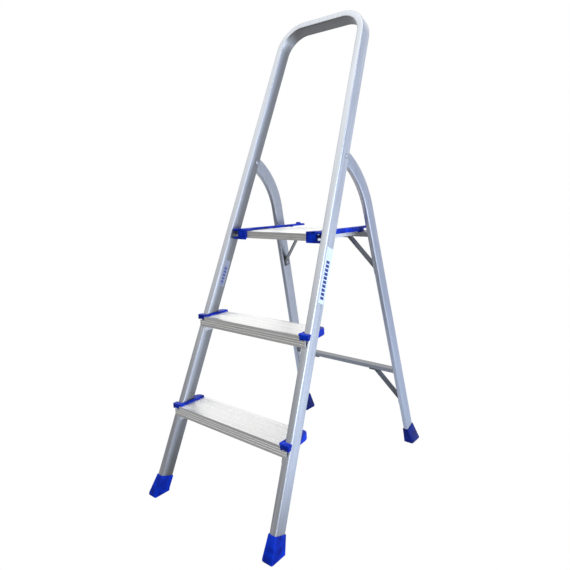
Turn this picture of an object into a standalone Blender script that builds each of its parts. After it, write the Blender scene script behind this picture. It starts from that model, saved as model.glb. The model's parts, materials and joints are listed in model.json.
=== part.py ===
"""Three-step aluminium platform stepladder with a tall bent hoop handrail.

Frame: metres, +X to the climber's right, +Y from the climbing side to the rear legs, +Z up.
The origin is on the floor, at the centre of the object's footprint.

The shapes are worked out in a design frame whose Y = 0 is where the front faces of the
stiles would meet the floor.  The ladder empty then moves everything onto the origin.
Three rigid groups hang from it: the front frame, the rear frame (parented to an empty on
the leg pivot axis) and the platform (parented to an empty on its hinge axis).
"""
import math

import bmesh
import bpy
from mathutils import Matrix, Vector
from mathutils.geometry import tessellate_polygon

# ---------------------------------------------------------------- driving dimensions
GAP = 0.0003                                # between pieces that touch
PLATE_GAP = 0.0006                          # between slightly tilted plates that touch

HOOP_LEAN = math.radians(21.9)              # stiles lean back from the vertical
HOOP_HEIGHT = 1.300                         # floor to the top bar
HOOP_FOOT_HALF_WIDTH = 0.216                # outer faces at the floor
HOOP_TOP_HALF_WIDTH = 0.144                 # outer faces at the top
HOOP_TUBE_WIDTH = 0.020
HOOP_TUBE_DEPTH = 0.038
HOOP_WALL = 0.0013
HOOP_EDGE_RADIUS = 0.0032
HOOP_BEND_RADIUS = 0.070                    # centre line of the two top bends
HOOP_BEND_STEPS = 10
TUBE_END_HEIGHT = 0.035                     # along the stile or leg, floor to tube end

PIVOT_HEIGHT = 0.900                        # rear leg pivot above the floor
PIVOT_INSET = 0.0275                        # pivot axis behind the stile's front face
PIVOT_SHANK_RADIUS = 0.004
PIVOT_HEAD_RADIUS = 0.0065
PIVOT_HEAD_HEIGHT = 0.0026
SLOT_ABOVE_PIVOT = 0.026                    # slot in the stile's rear wall
SLOT_BELOW_PIVOT = 0.062

LEG_LEAN = math.radians(15.5)               # straight part of the rear legs
LEG_BEND = math.radians(46.7)               # extra lean at the pivot
LEG_BEND_RADIUS = 0.220
LEG_BEND_STEPS = 10
LEG_SIDE_CLEARANCE = 0.0012                 # leg to the inside of the stile, each side
LEG_TUBE_DEPTH = 0.039
LEG_WALL = 0.0013
LEG_EDGE_RADIUS = 0.0048
LEG_SPLAY = 0.063                           # outward run for each metre of height
LEG_END_PAST_PIVOT = 0.012

TREAD_HEIGHTS = {"lower": 0.238, "upper": 0.4745}
TREAD_DEPTH = 0.0925
TREAD_WALL = 0.0016
TREAD_FRONT_DROP = 0.028
TREAD_REAR_DROP = 0.022
TREAD_BOX_DROP = 0.0145                     # underside of the hollow box under the tread
NOSING_SHORT_OF_STILE = 0.005               # nosing ends this far inside the outer face
RIB_PITCH = 0.0055
RIB_HEIGHT = 0.0008
RIB_MARGIN = 0.006                          # plain strip along each long edge
GROOVE_DEPTH = 0.0005
GROOVE_WIDTH = 0.0016
TREAD_GROOVES = (0.008, 0.014, 0.020)       # below the top edge

CAP_WEB = 0.0055                            # plastic between tread end and stile
CAP_RISE = 0.0045                           # above the tread
CAP_DROP = 0.014                            # below the tread's top
CAP_ARM_DROP = 0.010                        # the same, for the arm ahead of the stile
CAP_FRONT_ARM = 0.0140                      # ahead of the stile
CAP_ARM_OVERLAP = 0.0025                    # front arm inboard of the stile's inner face
CAP_REAR_ARM = 0.034                        # behind the stile
CAP_OUTER_LIP = 0.003                       # front arm past the stile's outer face
CAP_REAR_INSET = 0.002                      # rear arm short of the stile's outer face
CAP_REAR_RADIUS = 0.016

ANGLE_THICKNESS = 0.0018
ANGLE_REACH = 0.030                         # horizontal leg, from the stile inboard
ANGLE_DROP = 0.042                          # lower edge below the tread's top
ANGLE_FRONT_MARGIN = 0.004                  # behind the stile's front face
ANGLE_REAR_MARGIN = 0.003
ANGLE_RIVET_DROP = 0.030
ANGLE_RIVET_SPACING = 0.016
TREAD_RIVET_INSET = 0.012                   # from the tread's end

PLATFORM_HEIGHT = 0.7070
PLATFORM_FRONT = 0.0105                     # front edge behind the stile's front line
PLATFORM_SIDE_ROOM = 0.0240                 # panel to stile, at the hinge
PLATFORM_TO_BAR = 0.0068                    # panel's rear edge to the crossbar
PLATFORM_WALL = 0.0016
PLATFORM_FRONT_DROP = 0.019
PLATFORM_REAR_DROP = 0.016
PLATFORM_SIDE_DROP = 0.017
PLATFORM_GROOVES = (0.0065, 0.0125)

RAIL_INNER_STRIP = 0.0105                   # strip over the panel's edge
RAIL_SKIRT = 0.0032                         # thickness outside the panel
RAIL_RISE = 0.0065
RAIL_SKIRT_DROP = 0.0068                    # behind the hinge collar
SKIRT_BEHIND_COLLAR = 0.0015
CORNER_LENGTH = 0.027                       # cap over the panel's front corner
CORNER_FRONT = 0.0052                       # thickness ahead of the panel
CORNER_DEPTH = 0.030
CORNER_SIDE_DEPTH = 0.007                   # side cheek, behind the panel's front
CORNER_DROP = 0.0235
CORNER_TOP_RISE = 0.006
PRONG_THICKNESS = 0.006
PRONG_DEPTH = 0.022
PRONG_SHORT_OF_STILE = 0.0022
HOOK_LIP = 0.005
HOOK_LIP_DROP = 0.009
HOOK_TAIL = 0.088                           # rail past the panel's rear edge
BUMP_RISE = 0.005
BUMP_LENGTH = 0.012
BUMP_FROM_END = 0.026
RAIL_SCREW_SPOTS = (0.25, 0.80)             # along the panel's depth
SCREW_BITE = 0.0018                         # shank into the rail
SCREW_ROOM = 0.0005                         # blind hole past the screw's tip

HINGE_BEHIND_EDGE = 0.015                   # platform hinge, behind the panel's front
HINGE_DROP = 0.008
HINGE_SHANK_RADIUS = 0.003
HINGE_COLLAR_RADIUS = 0.0045
HINGE_HEAD_RADIUS = 0.005
HINGE_HEAD_HEIGHT = 0.002

BAR_HEIGHT = 0.014                          # crossbar, along the leg
BAR_DEPTH = 0.016
BAR_WALL = 0.0015
BAR_INSET = 0.010                           # behind the leg's front face
BAR_BELOW_PLATFORM = 0.0095                 # upper bar's front corner, below the panel's top
LOWER_BAR_TOP = 0.270                       # along the leg
BRACE_THICKNESS = 0.0030
BRACE_WIDTH = 0.019
BRACE_TAB = 0.020
BRACE_RUN = 0.073                           # across, from the leg to the bend
BRACE_DROP = 0.092                          # along the leg, below the crossbar

FOOT_WALL = 0.002
SOCKET_ROOM = 0.001                         # below the tube's end, inside a foot
FRONT_FOOT_COVER = 0.058                    # along the stile
FRONT_SOLE = (0.031, 0.050)                 # width, depth
FRONT_SOLE_SHIFT = (0.0022, -0.0012)        # from the stile's centre at the floor
REAR_FOOT_COVER = 0.052
REAR_SOLE = (0.031, 0.053)
REAR_SOLE_SHIFT = (0.0018, 0.0050)
SOLE_RADIUS = 0.004
SOLE_THICKNESS = 0.006                      # vertical band at the bottom of a foot

RIVET_SHANK_RADIUS = 0.0022
RIVET_HEAD_RADIUS = 0.0042
RIVET_HEAD_HEIGHT = 0.0014
RIVET_TAIL_RADIUS = 0.0030
RIVET_TAIL_LENGTH = 0.0035
ROUND_STEPS = 12

SIDES = {"left": -1, "right": 1}

# ---------------------------------------------------------------- derived dimensions
HOOP_LENGTH = HOOP_HEIGHT / math.cos(HOOP_LEAN)
HOOP_TAPER = (HOOP_FOOT_HALF_WIDTH - HOOP_TOP_HALF_WIDTH) / HOOP_LENGTH
HOOP_WIDTH_ALONG_X = HOOP_TUBE_WIDTH * math.hypot(1.0, HOOP_TAPER)
STILE_DEPTH_LEVEL = HOOP_TUBE_DEPTH / math.cos(HOOP_LEAN)
LEG_TUBE_WIDTH = HOOP_TUBE_WIDTH - 2 * HOOP_WALL - 2 * LEG_SIDE_CLEARANCE


def hoop_point(x, along, behind):
    """Design-frame point from the hoop's plane: along the stile, behind its front face."""
    sine, cosine = math.sin(HOOP_LEAN), math.cos(HOOP_LEAN)
    return Vector((x, along * sine + behind * cosine, along * cosine - behind * sine))


def along_stile(y, z):
    return y * math.sin(HOOP_LEAN) + z * math.cos(HOOP_LEAN)


def stile_front(z):
    """Y of the stile's front face at a height."""
    return z * math.tan(HOOP_LEAN)


def stile_outer(y, z):
    """X of the stile's outer face."""
    return HOOP_FOOT_HALF_WIDTH - HOOP_TAPER * along_stile(y, z)


def stile_inner(y, z):
    """X of the stile's inner face."""
    return stile_outer(y, z) - HOOP_WIDTH_ALONG_X


PIVOT = Vector((0.0, stile_front(PIVOT_HEIGHT) + PIVOT_INSET / math.cos(HOOP_LEAN), PIVOT_HEIGHT))
LEG_TOP_LEAN = LEG_LEAN + LEG_BEND
BEND_START_Z = PIVOT.z - LEG_BEND_RADIUS * (math.sin(LEG_TOP_LEAN) - math.sin(LEG_LEAN))
BEND_START_Y = PIVOT.y + LEG_BEND_RADIUS * (math.cos(LEG_LEAN) - math.cos(LEG_TOP_LEAN))
LEG_FLOOR_CENTRE_Y = BEND_START_Y + BEND_START_Z * math.tan(LEG_LEAN)
LEG_FLOOR_FRONT_Y = LEG_FLOOR_CENTRE_Y - LEG_TUBE_DEPTH / 2 / math.cos(LEG_LEAN)
LEG_CENTRE_AT_FLOOR = (stile_outer(PIVOT.y, PIVOT.z) - HOOP_WIDTH_ALONG_X / 2
                       + LEG_SPLAY * PIVOT.z)


def leg_centre_x(z):
    return LEG_CENTRE_AT_FLOOR - LEG_SPLAY * z


def rear_point(x, along, behind):
    """Design-frame point from the rear frame: along the straight leg, behind its front."""
    sine, cosine = math.sin(LEG_LEAN), math.cos(LEG_LEAN)
    return Vector((x, LEG_FLOOR_FRONT_Y - along * sine + behind * cosine,
                   along * cosine + behind * sine))


def leg_inner_x(along, behind):
    """X of the leg's inner face, in rear-frame coordinates."""
    return leg_centre_x(rear_point(0.0, along, behind).z) - LEG_TUBE_WIDTH / 2


UPPER_BAR_TOP = ((PLATFORM_HEIGHT - BAR_BELOW_PLATFORM - BAR_INSET * math.sin(LEG_LEAN))
                 / math.cos(LEG_LEAN))
BAR_TOPS = {"upper": UPPER_BAR_TOP, "lower": LOWER_BAR_TOP}
PANEL_FRONT_Y = stile_front(PLATFORM_HEIGHT) + PLATFORM_FRONT
PANEL_REAR_Y = rear_point(0.0, UPPER_BAR_TOP, BAR_INSET).y - PLATFORM_TO_BAR
PLATFORM_DEPTH = PANEL_REAR_Y - PANEL_FRONT_Y
HINGE = Vector((0.0, PANEL_FRONT_Y + HINGE_BEHIND_EDGE, PLATFORM_HEIGHT - HINGE_DROP))
PLATFORM_HALF_WIDTH = stile_inner(HINGE.y, HINGE.z) - PLATFORM_SIDE_ROOM
RAIL_OUTER_X = PLATFORM_HALF_WIDTH + GAP + RAIL_SKIRT

FRONT_SOLE_CENTRE = (HOOP_FOOT_HALF_WIDTH - HOOP_WIDTH_ALONG_X / 2 + FRONT_SOLE_SHIFT[0],
                     STILE_DEPTH_LEVEL / 2 + FRONT_SOLE_SHIFT[1])
REAR_SOLE_CENTRE = (LEG_CENTRE_AT_FLOOR + REAR_SOLE_SHIFT[0],
                    LEG_FLOOR_CENTRE_Y + REAR_SOLE_SHIFT[1])
FOOTPRINT_FRONT = FRONT_SOLE_CENTRE[1] - FRONT_SOLE[1] / 2
FOOTPRINT_REAR = REAR_SOLE_CENTRE[1] + REAR_SOLE[1] / 2
FOOTPRINT_CENTRE = Vector((0.0, (FOOTPRINT_FRONT + FOOTPRINT_REAR) / 2, 0.0))


# ---------------------------------------------------------------- scene helpers
def clear_scene():
    for item in list(bpy.data.objects):
        bpy.data.objects.remove(item, do_unlink=True)


def principled(name, colour, roughness, metallic):
    material = bpy.data.materials.new(name)
    material.use_nodes = True
    shader = material.node_tree.nodes["Principled BSDF"]
    shader.inputs["Base Color"].default_value = (*colour, 1.0)
    shader.inputs["Roughness"].default_value = roughness
    shader.inputs["Metallic"].default_value = metallic
    return material


def aluminium(name):
    return principled(name, (0.62, 0.65, 0.70), 0.38, 1.0)


def rivet_metal(name):
    return principled(name, (0.36, 0.37, 0.40), 0.42, 1.0)


def blue_plastic(name):
    return principled(name, (0.004, 0.035, 0.45), 0.40, 0.0)


def add_empty(name, parent, location):
    empty = bpy.data.objects.new(name, None)
    bpy.context.scene.collection.objects.link(empty)
    empty.parent = parent
    empty.location = location
    return empty


def add_object(name, mesh, material, group):
    """A piece whose mesh is in the design frame, hung from its group's empty."""
    piece = bpy.data.objects.new(name, mesh)
    bpy.context.scene.collection.objects.link(piece)
    mesh.transform(Matrix.Translation(-group["place"]))
    mesh.materials.clear()
    mesh.materials.append(material(name))
    piece.parent = group["empty"]
    return piece


def add_copy(name, mesh, material, group, place, direction):
    """A turned piece, its own +Z along the direction."""
    piece = bpy.data.objects.new(name, mesh)
    bpy.context.scene.collection.objects.link(piece)
    if not mesh.materials:
        mesh.materials.append(material(mesh.name))
    piece.parent = group["empty"]
    piece.location = place - group["place"]
    piece.rotation_mode = "QUATERNION"
    piece.rotation_quaternion = Vector((0.0, 0.0, 1.0)).rotation_difference(direction)
    return piece


# ---------------------------------------------------------------- mesh helpers
def finish_mesh(name, shape, smooth_angle=None):
    """Closes a bmesh into a mesh with its faces pointing out."""
    bmesh.ops.remove_doubles(shape, verts=shape.verts, dist=1e-6)
    bmesh.ops.recalc_face_normals(shape, faces=shape.faces)
    mesh = bpy.data.meshes.new(name)
    shape.to_mesh(mesh)
    shape.free()
    if smooth_angle is not None:
        mesh.shade_smooth()
        mesh.set_sharp_from_angle(angle=math.radians(smooth_angle))
    return mesh


def rounded_rectangle(width, depth, radius, steps=3):
    """Points of a rectangle with round corners, centred on zero."""
    points = []
    for quarter, (sx, sy) in enumerate(((1, 1), (-1, 1), (-1, -1), (1, -1))):
        for step in range(steps):
            angle = math.pi / 2 * (quarter + step / (steps - 1))
            points.append((sx * (width / 2 - radius) + radius * math.cos(angle),
                           sy * (depth / 2 - radius) + radius * math.sin(angle)))
    return points


def add_ring(shape, points):
    return [shape.verts.new(point) for point in points]


def bridge(shape, first, second):
    """Quads between two rings with the same number of points."""
    count = len(first)
    for i in range(count):
        j = (i + 1) % count
        shape.faces.new((first[i], first[j], second[j], second[i]))


def lofted(name, rings, smooth_angle=None):
    """A closed solid through a list of rings."""
    shape = bmesh.new()
    loops = [add_ring(shape, ring) for ring in rings]
    for first, second in zip(loops, loops[1:]):
        bridge(shape, first, second)
    shape.faces.new(loops[0])
    shape.faces.new(loops[-1])
    return finish_mesh(name, shape, smooth_angle)


def tube(name, outer_rings, inner_rings, smooth_angle=30):
    """A hollow tube, open at both ends."""
    shape = bmesh.new()
    outer = [add_ring(shape, ring) for ring in outer_rings]
    inner = [add_ring(shape, ring) for ring in inner_rings]
    for loops in (outer, inner):
        for first, second in zip(loops, loops[1:]):
            bridge(shape, first, second)
    for end in (0, -1):
        bridge(shape, outer[end], inner[end])
    return finish_mesh(name, shape, smooth_angle)


def prism(name, outline, start, end, holes=()):
    """A (y, z) outline, with holes, carried from X = start(y, z) to X = end(y, z)."""
    shape = bmesh.new()
    loops = [list(outline)] + [list(hole) for hole in holes]
    rings = []
    for side in (start, end):
        rings.append([add_ring(shape, [(side(y, z), y, z) for y, z in loop]) for loop in loops])
    for first, second in zip(*rings):
        bridge(shape, first, second)
    triangles = tessellate_polygon([[Vector((y, z, 0.0)) for y, z in loop] for loop in loops])
    for ring in rings:
        flat = [vert for loop in ring for vert in loop]
        for triangle in triangles:
            shape.faces.new([flat[i] for i in triangle])
    return finish_mesh(name, shape)


def box(name, low, high):
    outline = ((low[1], low[2]), (high[1], low[2]), (high[1], high[2]), (low[1], high[2]))
    return prism(name, outline, lambda y, z: low[0], lambda y, z: high[0])


def side_box(name, side, low, high):
    """A box given for the right-hand side, moved to the side asked for."""
    first, last = sorted((side * low[0], side * high[0]))
    return box(name, (first, low[1], low[2]), (last, high[1], high[2]))


def turned(name, profile, steps=ROUND_STEPS):
    """A profile of (radius, z), from the axis back to the axis, turned about Z."""
    shape = bmesh.new()
    rings = []
    for radius, z in profile:
        if radius == 0.0:
            rings.append([shape.verts.new((0.0, 0.0, z))])
            continue
        angles = [math.tau * i / steps for i in range(steps)]
        rings.append(add_ring(shape, [(radius * math.cos(a), radius * math.sin(a), z)
                                      for a in angles]))
    for first, second in zip(rings, rings[1:]):
        for i in range(steps):
            j = (i + 1) % steps
            if len(first) == 1:
                shape.faces.new((first[0], second[i], second[j]))
            elif len(second) == 1:
                shape.faces.new((first[j], first[i], second[0]))
            else:
                shape.faces.new((first[i], first[j], second[j], second[i]))
    return finish_mesh(name, shape, 35)


def rod(name, centre, direction, radius, length, steps=ROUND_STEPS):
    """A cylinder along a direction, centred on a point."""
    half = length / 2
    mesh = turned(name, ((0.0, half), (radius, half), (radius, -half), (0.0, -half)), steps)
    turn = Vector((0.0, 0.0, 1.0)).rotation_difference(direction).to_matrix().to_4x4()
    mesh.transform(Matrix.Translation(centre) @ turn)
    return mesh


def joined(mesh, others, operation):
    """The mesh united with, or cut by, others, worked out with exact Booleans."""
    base = bpy.data.objects.new(mesh.name, mesh)
    bpy.context.scene.collection.objects.link(base)
    helpers = []
    for other in others:
        helper = bpy.data.objects.new(other.name, other)
        bpy.context.scene.collection.objects.link(helper)
        helpers.append(helper)
        boolean = base.modifiers.new(operation.title(), "BOOLEAN")
        boolean.operation = operation
        boolean.object = helper
        boolean.solver = "EXACT"
    bpy.context.view_layer.update()
    evaluated = base.evaluated_get(bpy.context.evaluated_depsgraph_get())
    result = bpy.data.meshes.new_from_object(evaluated)
    result.name = mesh.name
    for helper in helpers + [base]:
        bpy.data.objects.remove(helper, do_unlink=True)
    return result


def united(mesh, others):
    return joined(mesh, others, "UNION")


def cut(mesh, cutters):
    return joined(mesh, cutters, "DIFFERENCE")


def rivet_mesh(name, grip):
    """A domed rivet along -Z: head above Z = 0, plates of the grip's thickness, tail."""
    tail = grip + 2 * GAP
    profile = ((0.0, GAP + RIVET_HEAD_HEIGHT),
               (0.6 * RIVET_HEAD_RADIUS, GAP + 0.8 * RIVET_HEAD_HEIGHT),
               (RIVET_HEAD_RADIUS, GAP),
               (RIVET_SHANK_RADIUS, GAP),
               (RIVET_SHANK_RADIUS, -tail),
               (RIVET_TAIL_RADIUS, -tail),
               (RIVET_TAIL_RADIUS, -tail - RIVET_TAIL_LENGTH),
               (0.0, -tail - RIVET_TAIL_LENGTH))
    return turned(name, profile)


def rivet_hole(place, direction, length=0.012):
    return rod("rivet_hole", place, direction, RIVET_SHANK_RADIUS + GAP, length)


def stile_inner_normal(side):
    """Unit vector out of the stile's inner face, pointing inboard."""
    taper_y = HOOP_TAPER * math.sin(HOOP_LEAN)
    taper_z = HOOP_TAPER * math.cos(HOOP_LEAN)
    return Vector((-side, -taper_y, -taper_z)).normalized()


def leg_inner_normal(side):
    return Vector((-side, 0.0, -LEG_SPLAY)).normalized()


# ---------------------------------------------------------------- front hoop
def hoop_centre_line():
    """(x, along, heading) up the right stile, over the top and down the left stile."""
    tilt = math.atan(HOOP_TAPER)
    bar = HOOP_LENGTH - HOOP_TUBE_WIDTH / 2
    corner_x = HOOP_FOOT_HALF_WIDTH - HOOP_WIDTH_ALONG_X / 2 - HOOP_TAPER * bar
    turn = math.pi / 2 - tilt
    tangent = HOOP_BEND_RADIUS * math.tan(turn / 2)
    centre = (corner_x - tangent, bar - HOOP_BEND_RADIUS)
    foot_x = HOOP_FOOT_HALF_WIDTH - HOOP_WIDTH_ALONG_X / 2 - HOOP_TAPER * TUBE_END_HEIGHT
    right = [(foot_x, TUBE_END_HEIGHT, tilt)]
    for step in range(HOOP_BEND_STEPS + 1):
        heading = tilt + turn * step / HOOP_BEND_STEPS
        right.append((centre[0] + HOOP_BEND_RADIUS * math.cos(heading),
                      centre[1] + HOOP_BEND_RADIUS * math.sin(heading), heading))
    left = [(-x, along, math.pi - heading) for x, along, heading in reversed(right)]
    return right + left


def hoop_rings(width, depth, radius):
    section = rounded_rectangle(width, depth, radius)
    rings = []
    for x, along, heading in hoop_centre_line():
        rings.append([hoop_point(x + a * math.cos(heading), along + a * math.sin(heading),
                                 HOOP_TUBE_DEPTH / 2 + b) for a, b in section])
    return rings


def slot_cutter(side):
    """Opens the stile's rear wall so that the leg swings inside the tube."""
    centre_along = along_stile(PIVOT.y, PIVOT.z)
    rings = []
    for along in (centre_along - SLOT_BELOW_PIVOT, centre_along + SLOT_ABOVE_PIVOT):
        centre = HOOP_FOOT_HALF_WIDTH - HOOP_WIDTH_ALONG_X / 2 - HOOP_TAPER * along
        half = HOOP_TUBE_WIDTH / 2 - HOOP_WALL
        ring = []
        for across, behind in ((-1, -1), (1, -1), (1, 1), (-1, 1)):
            ring.append(hoop_point(side * centre + across * half, along,
                                   HOOP_TUBE_DEPTH + behind * 3 * HOOP_WALL))
        rings.append(ring)
    return lofted("slot_cutter", rings)


def angle_rivet_places(height):
    """(y, z) of the two rivets that hold a tread angle to the stile."""
    z = height - ANGLE_RIVET_DROP
    middle = stile_front(z) + STILE_DEPTH_LEVEL / 2
    return [(middle - ANGLE_RIVET_SPACING / 2, z), (middle + ANGLE_RIVET_SPACING / 2, z)]


def stile_face_point(side, y, z):
    return Vector((side * stile_inner(y, z), y, z))


def build_hoop(group):
    outer = hoop_rings(HOOP_TUBE_WIDTH, HOOP_TUBE_DEPTH, HOOP_EDGE_RADIUS)
    inner = hoop_rings(HOOP_TUBE_WIDTH - 2 * HOOP_WALL, HOOP_TUBE_DEPTH - 2 * HOOP_WALL,
                       HOOP_EDGE_RADIUS - HOOP_WALL)
    mesh = tube("front_hoop", outer, inner)
    cutters = []
    for side in SIDES.values():
        cutters.append(slot_cutter(side))
        pivot_place = Vector((side * stile_inner(PIVOT.y, PIVOT.z), PIVOT.y, PIVOT.z))
        cutters.append(rod("pivot_hole", pivot_place, Vector((1.0, 0.0, 0.0)),
                           PIVOT_SHANK_RADIUS + GAP, 3 * HOOP_TUBE_WIDTH))
        cutters.append(rod("hinge_hole", stile_face_point(side, HINGE.y, HINGE.z),
                           Vector((1.0, 0.0, 0.0)), HINGE_SHANK_RADIUS + GAP, HOOP_TUBE_WIDTH))
        for height in TREAD_HEIGHTS.values():
            for y, z in angle_rivet_places(height):
                cutters.append(rivet_hole(stile_face_point(side, y, z),
                                          stile_inner_normal(side)))
    piece = add_object("front_hoop", cut(mesh, cutters), aluminium, group)
    piece.data.shade_smooth()
    piece.data.set_sharp_from_angle(angle=math.radians(30))


# ---------------------------------------------------------------- treads
def ribbed_top(front, rear, height):
    """Points along a ribbed top surface, front to rear; the rib crests are at the height."""
    valley = height - RIB_HEIGHT
    span = rear - front - 2 * RIB_MARGIN
    count = int(span / RIB_PITCH)
    start = front + (rear - front - count * RIB_PITCH) / 2
    points = [(front, height)]
    for rib in range(count + 1):
        left = start + rib * RIB_PITCH - RIB_PITCH / 2
        points.append((left + 0.30 * RIB_PITCH, height if rib else height))
        if rib < count:
            points.append((left + 0.70 * RIB_PITCH, height))
            points.append((left + 0.80 * RIB_PITCH, valley))
            points.append((left + 1.20 * RIB_PITCH, valley))
    points.append((rear, height))
    return points


def grooved_front(front, top, bottom, drops):
    """Points up a front face with shallow lengthwise grooves, bottom to top."""
    points = [(front, bottom)]
    for drop in sorted(drops, reverse=True):
        low, high = top - drop - GROOVE_WIDTH / 2, top - drop + GROOVE_WIDTH / 2
        points += [(front, low), (front + GROOVE_DEPTH, low + GROOVE_DEPTH),
                   (front + GROOVE_DEPTH, high - GROOVE_DEPTH), (front, high)]
    return points


def tread_front(height):
    """Y of the nosing's front face: its lower edge just clears the stiles."""
    return (stile_front(height - TREAD_FRONT_DROP) - PLATE_GAP / math.cos(HOOP_LEAN)
            - TREAD_WALL)


def tread_end(height):
    """X of the hollow tread's end faces."""
    rear = tread_front(height) + TREAD_DEPTH
    return stile_inner(rear, height + CAP_RISE) - CAP_WEB - GAP


def tread_rivet_place(side, height):
    z = height - TREAD_BOX_DROP - GAP - ANGLE_THICKNESS
    y = stile_front(z) + STILE_DEPTH_LEVEL / 2
    return Vector((side * (tread_end(height) - TREAD_RIVET_INSET), y, z))


def tread_end_cutters(side, height):
    """Takes the tread back to the stile's inner side, all but the lower part of the nosing."""
    front = tread_front(height)
    behind_nosing = front + TREAD_WALL - GAP / 3
    above, below = height + CAP_RISE, height - 2 * TREAD_FRONT_DROP
    far = 2 * HOOP_FOOT_HALF_WIDTH
    arm = stile_inner(front, height) - CAP_ARM_OVERLAP - GAP
    notch = height - CAP_ARM_DROP - PLATE_GAP
    return [side_box("end_cutter", side, (tread_end(height), behind_nosing, below),
                     (far, front + 2 * TREAD_DEPTH, above)),
            side_box("notch_cutter", side, (arm, front - TREAD_WALL, notch),
                     (far, front + TREAD_DEPTH / 2, above))]


def build_tread(level, height, group):
    front = tread_front(height)
    rear = front + TREAD_DEPTH
    end = tread_end(height)
    wall = TREAD_WALL
    floor = height - TREAD_BOX_DROP
    outline = grooved_front(front, height, height - TREAD_FRONT_DROP, TREAD_GROOVES)
    outline += ribbed_top(front, rear, height)
    outline += [(rear, height - TREAD_REAR_DROP), (rear - wall, height - TREAD_REAR_DROP),
                (rear - wall, floor), (front + wall, floor),
                (front + wall, height - TREAD_FRONT_DROP)]
    middle = (front + rear) / 2
    cells = []
    for low, high in ((front + wall, middle - wall / 2), (middle + wall / 2, rear - wall)):
        ceiling = height - RIB_HEIGHT - wall
        cells.append(((low, floor + wall), (high, floor + wall), (high, ceiling), (low, ceiling)))
    nosing_end = stile_outer(front, height) - NOSING_SHORT_OF_STILE
    mesh = prism(f"tread_{level}", outline, lambda y, z: -nosing_end, lambda y, z: nosing_end,
                 cells)
    holes = [cutter for side in SIDES.values() for cutter in tread_end_cutters(side, height)]
    holes += [rivet_hole(tread_rivet_place(side, height), Vector((0.0, 0.0, 1.0)), 0.010)
              for side in SIDES.values()]
    add_object(f"tread_{level}", cut(mesh, holes), aluminium, group)


def cap_web_ring(side, height, z):
    """Plan outline, at one height, of the web beside the stile and the arm behind it."""
    front = tread_front(height) + TREAD_WALL + PLATE_GAP
    rear = stile_front(z) + STILE_DEPTH_LEVEL
    inboard = tread_end(height) + GAP
    end = stile_front(height) + STILE_DEPTH_LEVEL + CAP_REAR_ARM
    tip = stile_outer(end, z) - CAP_REAR_INSET
    round_centre = (tip - CAP_REAR_RADIUS, end - CAP_REAR_RADIUS)
    points = [(inboard, front), (stile_inner(front, z) - PLATE_GAP, front),
              (stile_inner(rear, z) - PLATE_GAP, rear + PLATE_GAP),
              (stile_outer(rear, z) - CAP_REAR_INSET, rear + PLATE_GAP)]
    for step in range(6):
        angle = math.pi / 2 * step / 5
        points.append((round_centre[0] + CAP_REAR_RADIUS * math.cos(angle),
                       round_centre[1] + CAP_REAR_RADIUS * math.sin(angle)))
    points.append((inboard, end))
    return [(side * x, y, z) for x, y in points]


def cap_arm_ring(side, height, z):
    """Plan outline, at one height, of the arm that wraps the stile's front corner."""
    front = stile_front(z) - PLATE_GAP
    lip = stile_front(height) - CAP_FRONT_ARM
    inner = stile_inner(lip, z) - CAP_ARM_OVERLAP
    outer = stile_outer(lip, z) + CAP_OUTER_LIP
    return [(side * x, y, z) for x, y in ((inner, lip), (outer, lip), (outer, front),
                                          (inner, front))]


def build_end_cap(level, height, hand, side, group):
    """Plastic cap between tread and stile, with an arm round the stile at each end."""
    name = f"tread_{level}_end_cap_{hand}"
    web = lofted(name, [cap_web_ring(side, height, height - CAP_DROP),
                        cap_web_ring(side, height, height + CAP_RISE)])
    arm = lofted("cap_arm", [cap_arm_ring(side, height, height - CAP_ARM_DROP),
                             cap_arm_ring(side, height, height + CAP_RISE - GAP)])
    add_object(name, united(web, [arm]), blue_plastic, group)


def build_tread_angle(level, height, hand, side, group):
    """Aluminium angle riveted to the stile, under the end of a tread."""
    name = f"tread_{level}_angle_{hand}"
    top = height - TREAD_BOX_DROP - GAP
    bottom = height - ANGLE_DROP

    def outline(low, high, inset=0.0):
        front = ANGLE_FRONT_MARGIN + inset
        rear = STILE_DEPTH_LEVEL - ANGLE_REAR_MARGIN - inset
        return ((stile_front(low) + front, low), (stile_front(low) + rear, low),
                (stile_front(high) + rear, high), (stile_front(high) + front, high))

    upright = prism(name, outline(bottom, top - GAP),
                    lambda y, z: side * (stile_inner(y, z) - PLATE_GAP),
                    lambda y, z: side * (stile_inner(y, z) - PLATE_GAP - ANGLE_THICKNESS))
    shelf = prism("shelf", outline(top - ANGLE_THICKNESS, top, GAP),
                  lambda y, z: side * (stile_inner(y, z) - PLATE_GAP - GAP),
                  lambda y, z: side * (stile_inner(y, z) - ANGLE_REACH))
    holes = [rivet_hole(stile_face_point(side, y, z), stile_inner_normal(side))
             for y, z in angle_rivet_places(height)]
    holes.append(rivet_hole(tread_rivet_place(side, height), Vector((0.0, 0.0, 1.0)), 0.010))
    add_object(name, cut(united(upright, [shelf]), holes), aluminium, group)


def build_tread_rivets(group):
    side_mesh = rivet_mesh("stile_rivet", PLATE_GAP + ANGLE_THICKNESS + HOOP_WALL)
    under_mesh = rivet_mesh("tread_rivet", GAP + ANGLE_THICKNESS + TREAD_WALL)
    for level, height in TREAD_HEIGHTS.items():
        for hand, side in SIDES.items():
            normal = stile_inner_normal(side)
            for place, (y, z) in zip(("front", "rear"), angle_rivet_places(height)):
                face = stile_face_point(side, y, z) + normal * (PLATE_GAP + ANGLE_THICKNESS)
                add_copy(f"tread_{level}_stile_rivet_{hand}_{place}", side_mesh, rivet_metal,
                         group, face, normal)
            add_copy(f"tread_{level}_rivet_{hand}", under_mesh, rivet_metal, group,
                     tread_rivet_place(side, height), Vector((0.0, 0.0, -1.0)))


# ---------------------------------------------------------------- feet
def sole_ring(side, centre, size, z):
    section = rounded_rectangle(size[0], size[1], SOLE_RADIUS)
    return [(side * centre[0] + side * a, centre[1] + b, z) for a, b in section]


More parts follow.
